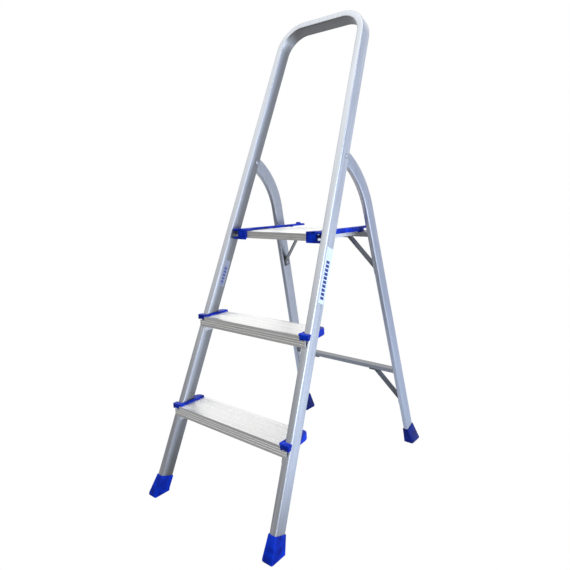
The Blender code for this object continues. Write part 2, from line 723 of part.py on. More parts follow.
def front_foot_meshes(side):
    """The outer block of a front foot and the cutter that makes room for the stile."""
    def ring(along, width, depth, radius):
        centre = HOOP_FOOT_HALF_WIDTH - HOOP_WIDTH_ALONG_X / 2 - HOOP_TAPER * along
        return [hoop_point(side * (centre + a), along, HOOP_TUBE_DEPTH / 2 + b)
                for a, b in rounded_rectangle(width, depth, radius)]

    wall = 2 * FOOT_WALL
    block = lofted("front_foot", [
        sole_ring(side, FRONT_SOLE_CENTRE, FRONT_SOLE, 0.0),
        sole_ring(side, FRONT_SOLE_CENTRE, FRONT_SOLE, SOLE_THICKNESS),
        ring(FRONT_FOOT_COVER, HOOP_TUBE_WIDTH + wall, HOOP_TUBE_DEPTH + wall, SOLE_RADIUS)],
                   35)
    room = 2 * GAP
    cutter = lofted("front_socket", [
        ring(along, HOOP_WIDTH_ALONG_X + room, HOOP_TUBE_DEPTH + room, HOOP_EDGE_RADIUS)
        for along in (TUBE_END_HEIGHT - SOCKET_ROOM, 2 * FRONT_FOOT_COVER)])
    return block, cutter


def rear_foot_meshes(side):
    """The outer block of a rear foot and the cutter that makes room for the leg."""
    def ring(along, width, depth, radius):
        points = []
        for a, b in rounded_rectangle(width, depth, radius):
            point = rear_point(0.0, along, LEG_TUBE_DEPTH / 2 + b)
            point.x = side * (leg_centre_x(point.z) + a)
            points.append(point)
        return points

    wall = 2 * FOOT_WALL
    block = lofted("rear_foot", [
        sole_ring(side, REAR_SOLE_CENTRE, REAR_SOLE, 0.0),
        sole_ring(side, REAR_SOLE_CENTRE, REAR_SOLE, SOLE_THICKNESS),
        ring(REAR_FOOT_COVER, LEG_TUBE_WIDTH + wall, LEG_TUBE_DEPTH + wall, SOLE_RADIUS)], 35)
    room = 2 * GAP
    cutter = lofted("rear_socket", [
        ring(along, LEG_TUBE_WIDTH + room, LEG_TUBE_DEPTH + room, LEG_EDGE_RADIUS)
        for along in (TUBE_END_HEIGHT - SOCKET_ROOM, 2 * REAR_FOOT_COVER)])
    return block, cutter


def build_foot(name, meshes, group):
    block, cutter = meshes
    add_object(name, cut(block, [cutter]), blue_plastic, group)


# ---------------------------------------------------------------- rear frame
def leg_path():
    """(y, z, lean) of a leg's centre line, from its top end to its foot end."""
    reach = LEG_END_PAST_PIVOT
    path = [(PIVOT.y - reach * math.sin(LEG_TOP_LEAN), PIVOT.z + reach * math.cos(LEG_TOP_LEAN),
             LEG_TOP_LEAN)]
    for step in range(LEG_BEND_STEPS + 1):
        lean = LEG_TOP_LEAN - LEG_BEND * step / LEG_BEND_STEPS
        path.append((BEND_START_Y - LEG_BEND_RADIUS * (math.cos(LEG_LEAN) - math.cos(lean)),
                     BEND_START_Z + LEG_BEND_RADIUS * (math.sin(lean) - math.sin(LEG_LEAN)),
                     lean))
    end = rear_point(0.0, TUBE_END_HEIGHT, LEG_TUBE_DEPTH / 2)
    path.append((end.y, end.z, LEG_LEAN))
    return path


def leg_rings(side, width, depth, radius):
    rings = []
    for y, z, lean in leg_path():
        ring = []
        for a, b in rounded_rectangle(width, depth, radius):
            point_z = z + b * math.sin(lean)
            ring.append((side * (leg_centre_x(point_z) + a), y + b * math.cos(lean), point_z))
        rings.append(ring)
    return rings


def bar_rivet_place(side, level):
    along = BAR_TOPS[level] - BAR_HEIGHT / 2
    behind = BAR_INSET + BAR_DEPTH / 2
    return rear_point(side * leg_inner_x(along, behind), along, behind)


def brace_points(level):
    """Centre line of a knee brace, from its tab under the crossbar to its tab on the leg."""
    behind = BAR_INSET + BAR_DEPTH / 2
    tab_top = BAR_TOPS[level] - BAR_HEIGHT - GAP - BRACE_THICKNESS / 2
    knee = tab_top - BRACE_DROP

    def beside_leg(along):
        return leg_inner_x(along, behind) - PLATE_GAP - BRACE_THICKNESS / 2

    turn_x = beside_leg(knee) - BRACE_RUN
    return [(turn_x - BRACE_TAB, tab_top), (turn_x, tab_top),
            (beside_leg(knee), knee), (beside_leg(knee - BRACE_TAB), knee - BRACE_TAB)]


def brace_rivet_places(side, level):
    """Rivet places on the crossbar's underside and on the leg's inner face."""
    behind = BAR_INSET + BAR_DEPTH / 2
    points = brace_points(level)
    tab_x = (points[0][0] + points[1][0]) / 2
    under_bar = rear_point(side * tab_x, BAR_TOPS[level] - BAR_HEIGHT, behind)
    along = (points[2][1] + points[3][1]) / 2
    on_leg = rear_point(side * leg_inner_x(along, behind), along, behind)
    return under_bar, on_leg


def build_leg(hand, side, group):
    outer = leg_rings(side, LEG_TUBE_WIDTH, LEG_TUBE_DEPTH, LEG_EDGE_RADIUS)
    inner = leg_rings(side, LEG_TUBE_WIDTH - 2 * LEG_WALL, LEG_TUBE_DEPTH - 2 * LEG_WALL,
                      LEG_EDGE_RADIUS - LEG_WALL)
    name = f"rear_leg_{hand}"
    pivot_place = Vector((side * leg_centre_x(PIVOT.z), PIVOT.y, PIVOT.z))
    holes = [rod("pivot_hole", pivot_place, Vector((1.0, 0.0, 0.0)), PIVOT_SHANK_RADIUS + GAP,
                 3 * LEG_TUBE_WIDTH)]
    for level in BAR_TOPS:
        holes.append(rivet_hole(bar_rivet_place(side, level), leg_inner_normal(side)))
        holes.append(rivet_hole(brace_rivet_places(side, level)[1], leg_inner_normal(side)))
    piece = add_object(name, cut(tube(name, outer, inner), holes), aluminium, group)
    piece.data.shade_smooth()
    piece.data.set_sharp_from_angle(angle=math.radians(30))


def rear_prism(name, low, high, end, wall):
    """A block across the rear frame, given along and behind, with ends that follow the legs."""
    rings = []
    for side in (-1, 1):
        ring = []
        for along, behind in ((low[0], low[1]), (high[0], low[1]), (high[0], high[1]),
                              (low[0], high[1])):
            ring.append(rear_point(side * (end(along, behind) - wall), along, behind))
        rings.append(ring)
    return lofted(name, rings)


def build_crossbar(level, group):
    """A channel open to the rear, closed at both ends by plates that meet the legs."""
    name = f"rear_crossbar_{level}"
    top = BAR_TOPS[level]
    low, high = (top - BAR_HEIGHT, BAR_INSET), (top, BAR_INSET + BAR_DEPTH)

    def end(along, behind):
        return leg_inner_x(along, behind) - GAP

    block = rear_prism(name, low, high, end, 0.0)
    pocket = rear_prism("pocket", (low[0] + BAR_WALL, low[1] + BAR_WALL),
                        (high[0] - BAR_WALL, high[1] + BAR_WALL), end, BAR_WALL)
    cutters = [pocket]
    up = rear_point(0.0, 1.0, 0.0) - rear_point(0.0, 0.0, 0.0)
    for side in SIDES.values():
        cutters.append(rivet_hole(bar_rivet_place(side, level), leg_inner_normal(side)))
        cutters.append(rivet_hole(brace_rivet_places(side, level)[0], up, 0.006))
    add_object(name, cut(block, cutters), aluminium, group)


def strip_outline(points, thickness):
    """Outline of a strip of even thickness that follows a bent centre line."""
    sides = ([], [])
    for i, point in enumerate(points):
        before = Vector(points[max(i - 1, 0)])
        after = Vector(points[min(i + 1, len(points) - 1)])
        here = Vector(point)
        incoming = (here - before).normalized() if i else (after - here).normalized()
        outgoing = (after - here).normalized() if i < len(points) - 1 else incoming
        normal = Vector((-(incoming.y + outgoing.y), incoming.x + outgoing.x)).normalized()
        mitre = thickness / 2 / normal.dot(Vector((-incoming.y, incoming.x)))
        sides[0].append(here + normal * mitre)
        sides[1].append(here - normal * mitre)
    return sides[0] + sides[1][::-1]


def build_brace(level, hand, side, group):
    name = f"knee_brace_{level}_{hand}"
    outline = strip_outline(brace_points(level), BRACE_THICKNESS)
    middle = BAR_INSET + BAR_DEPTH / 2
    rings = [[rear_point(side * x, along, middle + half * BRACE_WIDTH / 2)
              for x, along in outline] for half in (-1, 1)]
    up = rear_point(0.0, 1.0, 0.0) - rear_point(0.0, 0.0, 0.0)
    under_bar, on_leg = brace_rivet_places(side, level)
    holes = [rivet_hole(under_bar, up), rivet_hole(on_leg, leg_inner_normal(side))]
    add_object(name, cut(lofted(name, rings), holes), aluminium, group)


def build_rear_rivets(group):
    bar_mesh = rivet_mesh("bar_rivet", GAP + BAR_WALL + LEG_WALL)
    tab_mesh = rivet_mesh("brace_rivet", PLATE_GAP + BRACE_THICKNESS + BAR_WALL)
    up = rear_point(0.0, 1.0, 0.0) - rear_point(0.0, 0.0, 0.0)
    for level in BAR_TOPS:
        for hand, side in SIDES.items():
            normal = leg_inner_normal(side)
            place = bar_rivet_place(side, level) + normal * (GAP + BAR_WALL)
            add_copy(f"crossbar_rivet_{level}_{hand}", bar_mesh, rivet_metal, group, place,
                     normal)
            under_bar, on_leg = brace_rivet_places(side, level)
            add_copy(f"brace_rivet_{level}_{hand}_bar", tab_mesh, rivet_metal, group,
                     under_bar - up * (PLATE_GAP + BRACE_THICKNESS), -up)
            add_copy(f"brace_rivet_{level}_{hand}_leg", tab_mesh, rivet_metal, group,
                     on_leg + normal * (2 * PLATE_GAP + BRACE_THICKNESS), normal)


# ---------------------------------------------------------------- platform
def rail_screw_places(side):
    x = PLATFORM_HALF_WIDTH - PLATFORM_WALL - RIVET_HEAD_RADIUS - PLATE_GAP
    z = PLATFORM_HEIGHT - RIB_HEIGHT - PLATFORM_WALL
    return [Vector((side * x, PANEL_FRONT_Y + share * PLATFORM_DEPTH, z))
            for share in RAIL_SCREW_SPOTS]


def build_panel(group):
    """Ribbed aluminium pan: top, front and rear flanges from one profile, two side plates."""
    front, rear, top, wall = PANEL_FRONT_Y, PANEL_REAR_Y, PLATFORM_HEIGHT, PLATFORM_WALL
    ceiling = top - RIB_HEIGHT - wall
    outline = grooved_front(front, top, top - PLATFORM_FRONT_DROP, PLATFORM_GROOVES)
    outline += ribbed_top(front, rear, top)
    outline += [(rear, top - PLATFORM_REAR_DROP), (rear - wall, top - PLATFORM_REAR_DROP),
                (rear - wall, ceiling), (front + wall, ceiling),
                (front + wall, top - PLATFORM_FRONT_DROP)]
    inside = PLATFORM_HALF_WIDTH - wall / 2
    mesh = prism("platform_panel", outline, lambda y, z: -inside, lambda y, z: inside)
    plates = []
    holes = []
    for side in SIDES.values():
        plates.append(side_box("side_plate", side,
                               (PLATFORM_HALF_WIDTH - wall, front + GROOVE_DEPTH + GAP,
                                top - PLATFORM_SIDE_DROP),
                               (PLATFORM_HALF_WIDTH, rear - GAP, top - RIB_HEIGHT - GAP)))
        holes.append(rod("hinge_hole", Vector((side * PLATFORM_HALF_WIDTH, HINGE.y, HINGE.z)),
                         Vector((1.0, 0.0, 0.0)), HINGE_SHANK_RADIUS + GAP, 0.008))
        for place in rail_screw_places(side):
            holes.append(rivet_hole(place, Vector((0.0, 0.0, 1.0)), 0.010))
    add_object("platform_panel", cut(united(mesh, plates), holes), aluminium, group)


def hook_outline():
    """(y, z) outline of the rail's rear end: over the crossbar, lip behind it, lift tail."""
    top = PLATFORM_HEIGHT + RAIL_RISE
    bar_front = rear_point(0.0, BAR_TOPS["upper"], BAR_INSET)
    bar_rear = rear_point(0.0, BAR_TOPS["upper"], BAR_INSET + BAR_DEPTH)
    lip_end = rear_point(0.0, BAR_TOPS["upper"] - HOOK_LIP_DROP, BAR_INSET + BAR_DEPTH)
    slide = rear_point(0.0, 0.0, 1.0) - rear_point(0.0, 0.0, 0.0)
    lift = rear_point(0.0, 1.0, 0.0) - rear_point(0.0, 0.0, 0.0)
    room = slide * PLATE_GAP + lift * PLATE_GAP
    inner_corner = bar_rear + room
    lip_front = lip_end + slide * PLATE_GAP
    lip_rear = lip_front + slide * HOOK_LIP
    front_corner = bar_front + lift * PLATE_GAP
    tail_under = PLATFORM_HEIGHT + GAP
    tail_end = PANEL_REAR_Y + HOOK_TAIL
    root = lip_rear + lift * (tail_under - lip_rear.z) / lift.z
    bump = tail_end - BUMP_FROM_END
    return [(PANEL_REAR_Y - CORNER_DEPTH, PLATFORM_HEIGHT + 2 * GAP),
            (PANEL_REAR_Y + GAP, PLATFORM_HEIGHT + 2 * GAP),
            (PANEL_REAR_Y + GAP, front_corner.z), (front_corner.y, front_corner.z),
            (inner_corner.y, inner_corner.z), (lip_front.y, lip_front.z),
            (lip_rear.y, lip_rear.z), (root.y, tail_under), (tail_end, tail_under),
            (tail_end, top - BUMP_RISE / 2), (tail_end - BUMP_RISE / 2, top),
            (bump + BUMP_LENGTH / 2, top), (bump + BUMP_LENGTH / 4, top + BUMP_RISE),
            (bump - BUMP_LENGTH / 4, top + BUMP_RISE), (bump - BUMP_LENGTH / 2, top),
            (PANEL_REAR_Y - CORNER_DEPTH, top - GAP)]


def build_rail(hand, side, group):
    """Plastic side rail: strip, skirt, front corner cap with two prongs, rear hook."""
    name = f"platform_rail_{hand}"
    front = PANEL_FRONT_Y - CORNER_FRONT
    corner_rear = PANEL_FRONT_Y + CORNER_DEPTH
    inner = PLATFORM_HALF_WIDTH - RAIL_INNER_STRIP
    outer = RAIL_OUTER_X
    top = PLATFORM_HEIGHT + RAIL_RISE
    skirt_x = PLATFORM_HALF_WIDTH + GAP
    skirt_front = HINGE.y + HINGE_COLLAR_RADIUS + SKIRT_BEHIND_COLLAR
    corner_x = PLATFORM_HALF_WIDTH - CORNER_LENGTH
    tip = stile_inner(HINGE.y, HINGE.z) - PRONG_SHORT_OF_STILE
    prong_top = PLATFORM_HEIGHT + CORNER_TOP_RISE - GAP
    low = PLATFORM_HEIGHT - CORNER_DROP
    shrink = GAP / 2
    strip = side_box(name, side, (inner, front + shrink, PLATFORM_HEIGHT + GAP),
                     (outer, PANEL_REAR_Y, top))
    parts = [
        side_box("skirt", side, (skirt_x, skirt_front, PLATFORM_HEIGHT - RAIL_SKIRT_DROP),
                 (outer - shrink, PANEL_REAR_Y - shrink, top - shrink)),
        side_box("corner_front", side, (corner_x, front, low),
                 (outer - GAP, PANEL_FRONT_Y - GAP, PLATFORM_HEIGHT + CORNER_TOP_RISE)),
        side_box("corner_top", side, (corner_x + shrink, front + GAP, PLATFORM_HEIGHT + 2 * GAP),
                 (inner + GAP, corner_rear, PLATFORM_HEIGHT + CORNER_TOP_RISE - shrink)),
        side_box("corner_side", side, (skirt_x + shrink / 2, front + shrink / 2, low + shrink),
                 (outer - GAP - shrink, PANEL_FRONT_Y + CORNER_SIDE_DEPTH, PLATFORM_HEIGHT)),
        side_box("upper_prong", side, (skirt_x + GAP, front + 2 * GAP, prong_top - PRONG_THICKNESS),
                 (tip, front + PRONG_DEPTH, prong_top)),
        side_box("lower_prong", side, (skirt_x + GAP, front + 2 * GAP, low + GAP),
                 (tip, front + PRONG_DEPTH, low + PRONG_THICKNESS)),
        prism("hook", hook_outline(), lambda y, z: side * (inner + GAP),
              lambda y, z: side * (outer - GAP)),
    ]
    holes = [rod("screw_hole", place, Vector((0.0, 0.0, 1.0)), RIVET_SHANK_RADIUS + GAP,
                 2 * (screw_shank() + RIVET_SHANK_RADIUS / 2 + SCREW_ROOM))
             for place in rail_screw_places(side)]
    add_object(name, cut(united(strip, parts), holes), blue_plastic, group)


def screw_shank():
    """Shank length from the panel's underside, up to where the tip begins."""
    return RIB_HEIGHT + PLATFORM_WALL + SCREW_BITE


def screw_mesh(name):
    """A pan-head screw along -Z, its head above Z = 0."""
    length = screw_shank()
    return turned(name, ((0.0, GAP + RIVET_HEAD_HEIGHT), (RIVET_HEAD_RADIUS / 2,
                          GAP + RIVET_HEAD_HEIGHT), (RIVET_HEAD_RADIUS, GAP),
                         (RIVET_SHANK_RADIUS, GAP), (RIVET_SHANK_RADIUS, -length),
                         (0.0, -length - RIVET_SHANK_RADIUS / 2)))


def build_rail_screws(group):
    mesh = screw_mesh("rail_screw")
    for hand, side in SIDES.items():
        for place, spot in zip(("front", "rear"), rail_screw_places(side)):
            add_copy(f"rail_screw_{hand}_{place}", mesh, rivet_metal, group, spot,
                     Vector((0.0, 0.0, -1.0)))


# ---------------------------------------------------------------- pins
def build_pivot_rivets(group):
    """Headed pins across the stiles, on which the rear legs turn."""
    half = HOOP_TUBE_WIDTH / 2 + PLATE_GAP
    profile = ((0.0, half + PIVOT_HEAD_HEIGHT),
               (0.6 * PIVOT_HEAD_RADIUS, half + 0.75 * PIVOT_HEAD_HEIGHT),
               (PIVOT_HEAD_RADIUS, half), (PIVOT_SHANK_RADIUS, half),
               (PIVOT_SHANK_RADIUS, -half), (PIVOT_HEAD_RADIUS, -half),
               (0.6 * PIVOT_HEAD_RADIUS, -half - 0.75 * PIVOT_HEAD_HEIGHT),
               (0.0, -half - PIVOT_HEAD_HEIGHT))
    mesh = turned("pivot_pin", profile, 16)
    for hand, side in SIDES.items():
        centre = stile_outer(PIVOT.y, PIVOT.z) - HOOP_WIDTH_ALONG_X / 2
        add_copy(f"leg_pivot_pin_{hand}", mesh, rivet_metal, group,
                 Vector((side * centre, PIVOT.y, PIVOT.z)), Vector((side, 0.0, 0.0)))


def build_hinge_pins(group):
    """Shouldered pins from the stiles into the platform's side plates."""
    face = stile_inner(HINGE.y, HINGE.z)
    collar_end = face - PLATFORM_HALF_WIDTH - PLATE_GAP
    head = face - (PLATFORM_HALF_WIDTH - PLATFORM_WALL) + PLATE_GAP
    tail = HOOP_WALL + PLATE_GAP
    profile = ((0.0, head + HINGE_HEAD_HEIGHT), (HINGE_HEAD_RADIUS, head + HINGE_HEAD_HEIGHT),
               (HINGE_HEAD_RADIUS, head), (HINGE_SHANK_RADIUS, head),
               (HINGE_SHANK_RADIUS, collar_end), (HINGE_COLLAR_RADIUS, collar_end),
               (HINGE_COLLAR_RADIUS, PLATE_GAP), (HINGE_SHANK_RADIUS, PLATE_GAP),
               (HINGE_SHANK_RADIUS, -tail), (HINGE_COLLAR_RADIUS, -tail),
               (HINGE_COLLAR_RADIUS, -tail - HINGE_HEAD_HEIGHT),
               (0.0, -tail - HINGE_HEAD_HEIGHT))
    mesh = turned("hinge_pin", profile, 16)
    for hand, side in SIDES.items():
        add_copy(f"platform_hinge_pin_{hand}", mesh, rivet_metal, group,
                 Vector((side * face, HINGE.y, HINGE.z)), Vector((-side, 0.0, 0.0)))


# ---------------------------------------------------------------- assembly
def build_ladder():
    clear_scene()
    ladder = add_empty("ladder", None, -FOOTPRINT_CENTRE)
    front = {"empty": add_empty("front_frame_group", ladder, Vector()), "place": Vector()}
    rear = {"empty": add_empty("rear_frame_group", ladder, PIVOT), "place": PIVOT}
    platform = {"empty": add_empty("platform_group", ladder, HINGE), "place": HINGE}

    build_hoop(front)
    for level, height in TREAD_HEIGHTS.items():
        build_tread(level, height, front)
        for hand, side in SIDES.items():
            build_end_cap(level, height, hand, side, front)
            build_tread_angle(level, height, hand, side, front)
    build_tread_rivets(front)
    build_pivot_rivets(front)
    build_hinge_pins(front)
    for hand, side in SIDES.items():
        build_foot(f"front_foot_{hand}", front_foot_meshes(side), front)
        build_foot(f"rear_foot_{hand}", rear_foot_meshes(side), rear)
        build_leg(hand, side, rear)
        build_rail(hand, side, platform)
    for level in BAR_TOPS:
        build_crossbar(level, rear)
        for hand, side in SIDES.items():
            build_brace(level, hand, side, rear)
    build_rear_rivets(rear)
    build_panel(platform)
    build_rail_screws(platform)


build_ladder()
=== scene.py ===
"""Looks of a tall aluminium platform stepladder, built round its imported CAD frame.

Frame: metres, +X to the climber's right, +Y from the climbing side to the rear legs, +Z up,
origin on the floor at the centre of the footprint.  Bent tubes, feet, end caps and rails are
surfaces worked out on grids; extruded and pressed metal keeps its CAD shape.
"""
import json
import math

import bpy
import numpy as np
from mathutils import Matrix, Vector


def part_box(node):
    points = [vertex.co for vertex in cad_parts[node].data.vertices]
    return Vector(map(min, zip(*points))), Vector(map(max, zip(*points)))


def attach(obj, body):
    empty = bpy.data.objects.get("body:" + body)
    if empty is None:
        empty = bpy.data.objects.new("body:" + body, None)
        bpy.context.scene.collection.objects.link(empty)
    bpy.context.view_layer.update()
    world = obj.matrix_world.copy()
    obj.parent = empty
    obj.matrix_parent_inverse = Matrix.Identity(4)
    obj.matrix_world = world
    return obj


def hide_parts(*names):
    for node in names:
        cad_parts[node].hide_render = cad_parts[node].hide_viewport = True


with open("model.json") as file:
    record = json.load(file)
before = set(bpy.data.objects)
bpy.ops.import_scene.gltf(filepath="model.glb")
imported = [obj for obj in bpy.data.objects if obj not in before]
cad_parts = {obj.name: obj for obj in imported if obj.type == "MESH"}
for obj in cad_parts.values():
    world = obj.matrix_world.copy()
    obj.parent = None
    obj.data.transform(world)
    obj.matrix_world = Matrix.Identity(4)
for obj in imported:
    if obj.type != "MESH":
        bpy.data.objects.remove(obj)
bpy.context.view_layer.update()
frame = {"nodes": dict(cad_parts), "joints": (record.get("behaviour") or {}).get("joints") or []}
JOINTS = {joint["name"]: joint for joint in frame["joints"]}
SIDES = {"left": -1.0, "right": 1.0}
SHARP_DEGREES = 32.0

# ------------------------------------------------------------------ sizes, in metres
GAP = 0.0003                                # between mouldings and what they sit on
PLATE_GAP = 0.0006                          # between pieces that pass each other
HOOP_LEAN = math.radians(21.9)
HOOP_HEIGHT = 1.300
HOOP_FOOT_HALF_WIDTH = 0.216
HOOP_TOP_HALF_WIDTH = 0.144
HOOP_TUBE = (0.020, 0.038)                  # width, depth
HOOP_WALL = 0.0013
HOOP_EDGE = 0.0040                          # outer corner radius of the section
HOOP_BEND_RADIUS = 0.070
TUBE_END = 0.035

LEG_LEAN = math.radians(15.5)
LEG_BEND = math.radians(46.7)
LEG_BEND_RADIUS = 0.220
LEG_TUBE = (0.015, 0.039)
LEG_WALL = 0.0013
LEG_EDGE = 0.0052
LEG_SPLAY = 0.063
LEG_PAST_PIVOT = 0.012
PIVOT_INSET = 0.0275
PIVOT_HOLE = 0.0043
HINGE_HOLE = 0.0033
SLOT = (-0.062, 0.026)                      # below and above the pivot, along the stile

FOOT_WALL = 0.002
SOCKET_ROOM = 0.001
SOLE_BAND = 0.006
SOLE_EDGE = 0.004
SOLE_RIM = ((0.0030, 0.0), (0.0012, 0.0004), (0.0, 0.0016), (0.0, SOLE_BAND))   # inset, height
COLLAR_RIM = ((0.0, 0.0012), (0.0006, 0.0003), (0.0020, 0.0))                   # inset, drop
FRONT_COVER = 0.058                         # foot along the stile
FRONT_SOLE = (0.031, 0.050)
FRONT_SOLE_SHIFT = (0.0022, -0.0012)
REAR_COVER = 0.052
REAR_SOLE = (0.031, 0.053)
REAR_SOLE_SHIFT = (0.0018, 0.0050)

TREAD_WALL = 0.0016
CAP_WEB = 0.0055                            # web's reach inboard of the stile
CAP_RISE = 0.0045
CAP_DROP = 0.014
CAP_ARM_DROP = 0.010
CAP_ARM_LIFT = 0.0035                       # inboard end of the arm's lower edge
CAP_FRONT_ARM = 0.0140
CAP_ARM_OVERLAP = 0.0025
CAP_REAR_ARM = 0.034
CAP_OUTER_LIP = 0.003
CAP_REAR_INSET = 0.002
CAP_REAR_RADIUS = 0.016
CAP_REAR_LIFT = 0.006                       # lower edge of the rear arm, at its end

RAIL_STRIP = 0.0105
RAIL_SKIRT = 0.0032
RAIL_RISE = 0.0065
RAIL_SKIRT_DROP = 0.0068
COLLAR_REACH = 0.006                        # hinge axis to the skirt's front end
CORNER_LENGTH = 0.027
CORNER_FRONT = 0.0052
CORNER_DEPTH = 0.030
CORNER_SIDE_DEPTH = 0.007
CORNER_DROP = 0.0235
CORNER_RISE = 0.006
PRONG = (0.006, 0.022)                      # thickness, depth
PRONG_SHORT = 0.0022
HOOK_LIP = 0.005
HOOK_LIP_DROP = 0.009
HOOK_TAIL = 0.088
BUMP_RISE = 0.005
BUMP_LENGTH = 0.012
BUMP_FROM_END = 0.026
BAR_BELOW_PLATFORM = 0.0095                 # upper crossbar's front corner
BAR_INSET = 0.010
BAR_DEPTH = 0.016

LABEL_ALONG = (0.594, 0.735)                # sticker on the right stile
LABEL_BEHIND = (0.008, 0.0355)
SMALL_ALONG = (0.603, 0.679)                # sticker inside the left stile
SMALL_BEHIND = (0.010, 0.030)
STICKER_LIFT = 0.00002                      # keeps the back off the metal
STICKER_THICKNESS = 0.0002
STICKER_CORNER = 0.002
# (edge, corner): rounding of a moulding's rims, and of its outline's corners
SOFT = (0.0008, 0.0016)
WEB_SOFT = (0.0009, 0.0018)
ARM_SOFT = (0.0010, 0.0022)
STRIP_SOFT = (0.0014, 0.0016)
CORNER_SOFT = (0.0012, 0.0022)
PRONG_SOFT = (0.0010, 0.0024)
HOOK_SOFT = (0.0008, 0.0012)
CORNER_SHARE = 0.45                         # most of a side that a round corner may take

BORE_SPAN = 0.06                            # cutters reach through both stile walls
LEG_BORE_SPAN = 0.05
HINGE_BORE_SPAN = 0.02

PIVOT = Vector(JOINTS["rear_frame_fold"]["pos_m"])
HINGE = Vector(JOINTS["platform_fold"]["pos_m"])
HOOP_LENGTH = HOOP_HEIGHT / math.cos(HOOP_LEAN)
HOOP_TAPER = (HOOP_FOOT_HALF_WIDTH - HOOP_TOP_HALF_WIDTH) / HOOP_LENGTH
HOOP_X_WIDTH = HOOP_TUBE[0] * math.hypot(1.0, HOOP_TAPER)
STILE_LEVEL_DEPTH = HOOP_TUBE[1] / math.cos(HOOP_LEAN)
FLOOR_Y = PIVOT.y - PIVOT.z * math.tan(HOOP_LEAN) - PIVOT_INSET / math.cos(HOOP_LEAN)
LEG_FOOT_X = (HOOP_FOOT_HALF_WIDTH - HOOP_X_WIDTH / 2 + LEG_SPLAY * PIVOT.z - HOOP_TAPER
              * ((PIVOT.y - FLOOR_Y) * math.sin(HOOP_LEAN) + PIVOT.z * math.cos(HOOP_LEAN)))

LEG_TOP_LEAN = LEG_LEAN + LEG_BEND
BEND_START_Z = PIVOT.z - LEG_BEND_RADIUS * (math.sin(LEG_TOP_LEAN) - math.sin(LEG_LEAN))
BEND_START_Y = PIVOT.y + LEG_BEND_RADIUS * (math.cos(LEG_LEAN) - math.cos(LEG_TOP_LEAN))
LEG_FRONT_Y = (BEND_START_Y + BEND_START_Z * math.tan(LEG_LEAN)
               - LEG_TUBE[1] / 2 / math.cos(LEG_LEAN))


# ------------------------------------------------------------------ points on the frame
def hoop_point(x, along, behind):
    """Points from the hoop's own plane: x across, along the stile, behind its front face."""
    sine, cosine = math.sin(HOOP_LEAN), math.cos(HOOP_LEAN)
    return np.stack(np.broadcast_arrays(x, FLOOR_Y + along * sine + behind * cosine,
                                        along * cosine - behind * sine), axis=-1)


def rear_point(x, along, behind):
    """Points from the rear frame: x across, along the straight leg, behind its front face."""
    sine, cosine = math.sin(LEG_LEAN), math.cos(LEG_LEAN)
    return np.stack(np.broadcast_arrays(x, LEG_FRONT_Y - along * sine + behind * cosine,
                                        along * cosine + behind * sine), axis=-1)


def stile_front(z):
    """Y of the stiles' front face at a height."""
    return FLOOR_Y + z * math.tan(HOOP_LEAN)


def stile_outer(y, z):
    """X of the outer face: half the foot's width less the taper times the place along."""
    along = (y - FLOOR_Y) * math.sin(HOOP_LEAN) + z * math.cos(HOOP_LEAN)
    return HOOP_FOOT_HALF_WIDTH - HOOP_TAPER * along


def stile_inner(y, z):
    """X of the inner face: the outer face less the tube's width."""
    return stile_outer(y, z) - HOOP_X_WIDTH


# ------------------------------------------------------------------ grid surfaces
def grid_faces(rings, points, wrap):
    """Quads of a grid of rings by points, joined round each ring and, if asked, end to end."""
    i = np.arange(rings if wrap else rings - 1)[:, None]
    j = np.arange(points)[None, :]
    i2, j2 = (i + 1) % rings, (j + 1) % points
    corners = (i * points + j, i * points + j2, i2 * points + j2, i2 * points + j)
    return np.stack(np.broadcast_arrays(*corners), axis=-1).reshape(-1, 4)


def link_mesh(name, vertices, faces):
    """A new object with these points and faces, in the scene."""
    mesh = bpy.data.meshes.new(name)
    mesh.from_pydata(np.asarray(vertices).tolist(), [], faces)
    piece = bpy.data.objects.new(name, mesh)
    bpy.context.scene.collection.objects.link(piece)
    return piece


def smooth(mesh):
    """Smooth shading, broken at edges past the sharp angle."""
    mesh.shade_smooth()
    mesh.set_sharp_from_angle(angle=math.radians(SHARP_DEGREES))


def make_piece(name, vertices, faces, body, material, nodes=()):
    """A closed mesh whose place is in its points, on its body."""
    piece = link_mesh(name, vertices, faces)
    piece.data.materials.append(material)
    smooth(piece.data)
    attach(piece, body)
    if nodes:
        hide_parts(*nodes)
    return piece


def face_outwards(vertices, faces):
    """Turns every face of a closed grid round if its signed volume comes out negative."""
    points = np.asarray(vertices)
    quads = np.array([face for face in faces if len(face) == 4])
    a, b, c, d = (points[quads[:, k]] for k in range(4))
    volume = (np.einsum("ij,ij->i", a, np.cross(b, c)).sum()
              + np.einsum("ij,ij->i", a, np.cross(c, d)).sum())
    return faces if volume > 0 else [list(face)[::-1] for face in faces]


def loft(rings):
    """Closed shell through a stack of rings: (ring, point, 3) with a flat face at each end."""
    count, points = rings.shape[:2]
    faces = grid_faces(count, points, False).tolist()
    faces.append(list(range(points))[::-1])
    faces.append(list(range((count - 1) * points, count * points)))
    vertices = rings.reshape(-1, 3)
    centred = vertices - vertices.mean(axis=0)
    return vertices, face_outwards(centred, faces)


def tube(outer, inner):
    """Open-ended tube: out along the outer rings, back along the inner, closed on itself."""
    rings = np.concatenate((outer, inner[::-1]))
    faces = grid_faces(len(rings), rings.shape[1], True).tolist()
    vertices = rings.reshape(-1, 3)
    return vertices, face_outwards(vertices - vertices.mean(axis=0), faces)


def shells(parts):
    """Several closed shells in one mesh."""
    vertices, faces, start = [], [], 0
    for points, polygons in parts:
        vertices.append(points)
        faces += [[start + index for index in polygon] for polygon in polygons]
        start += len(points)
    return np.concatenate(vertices), faces


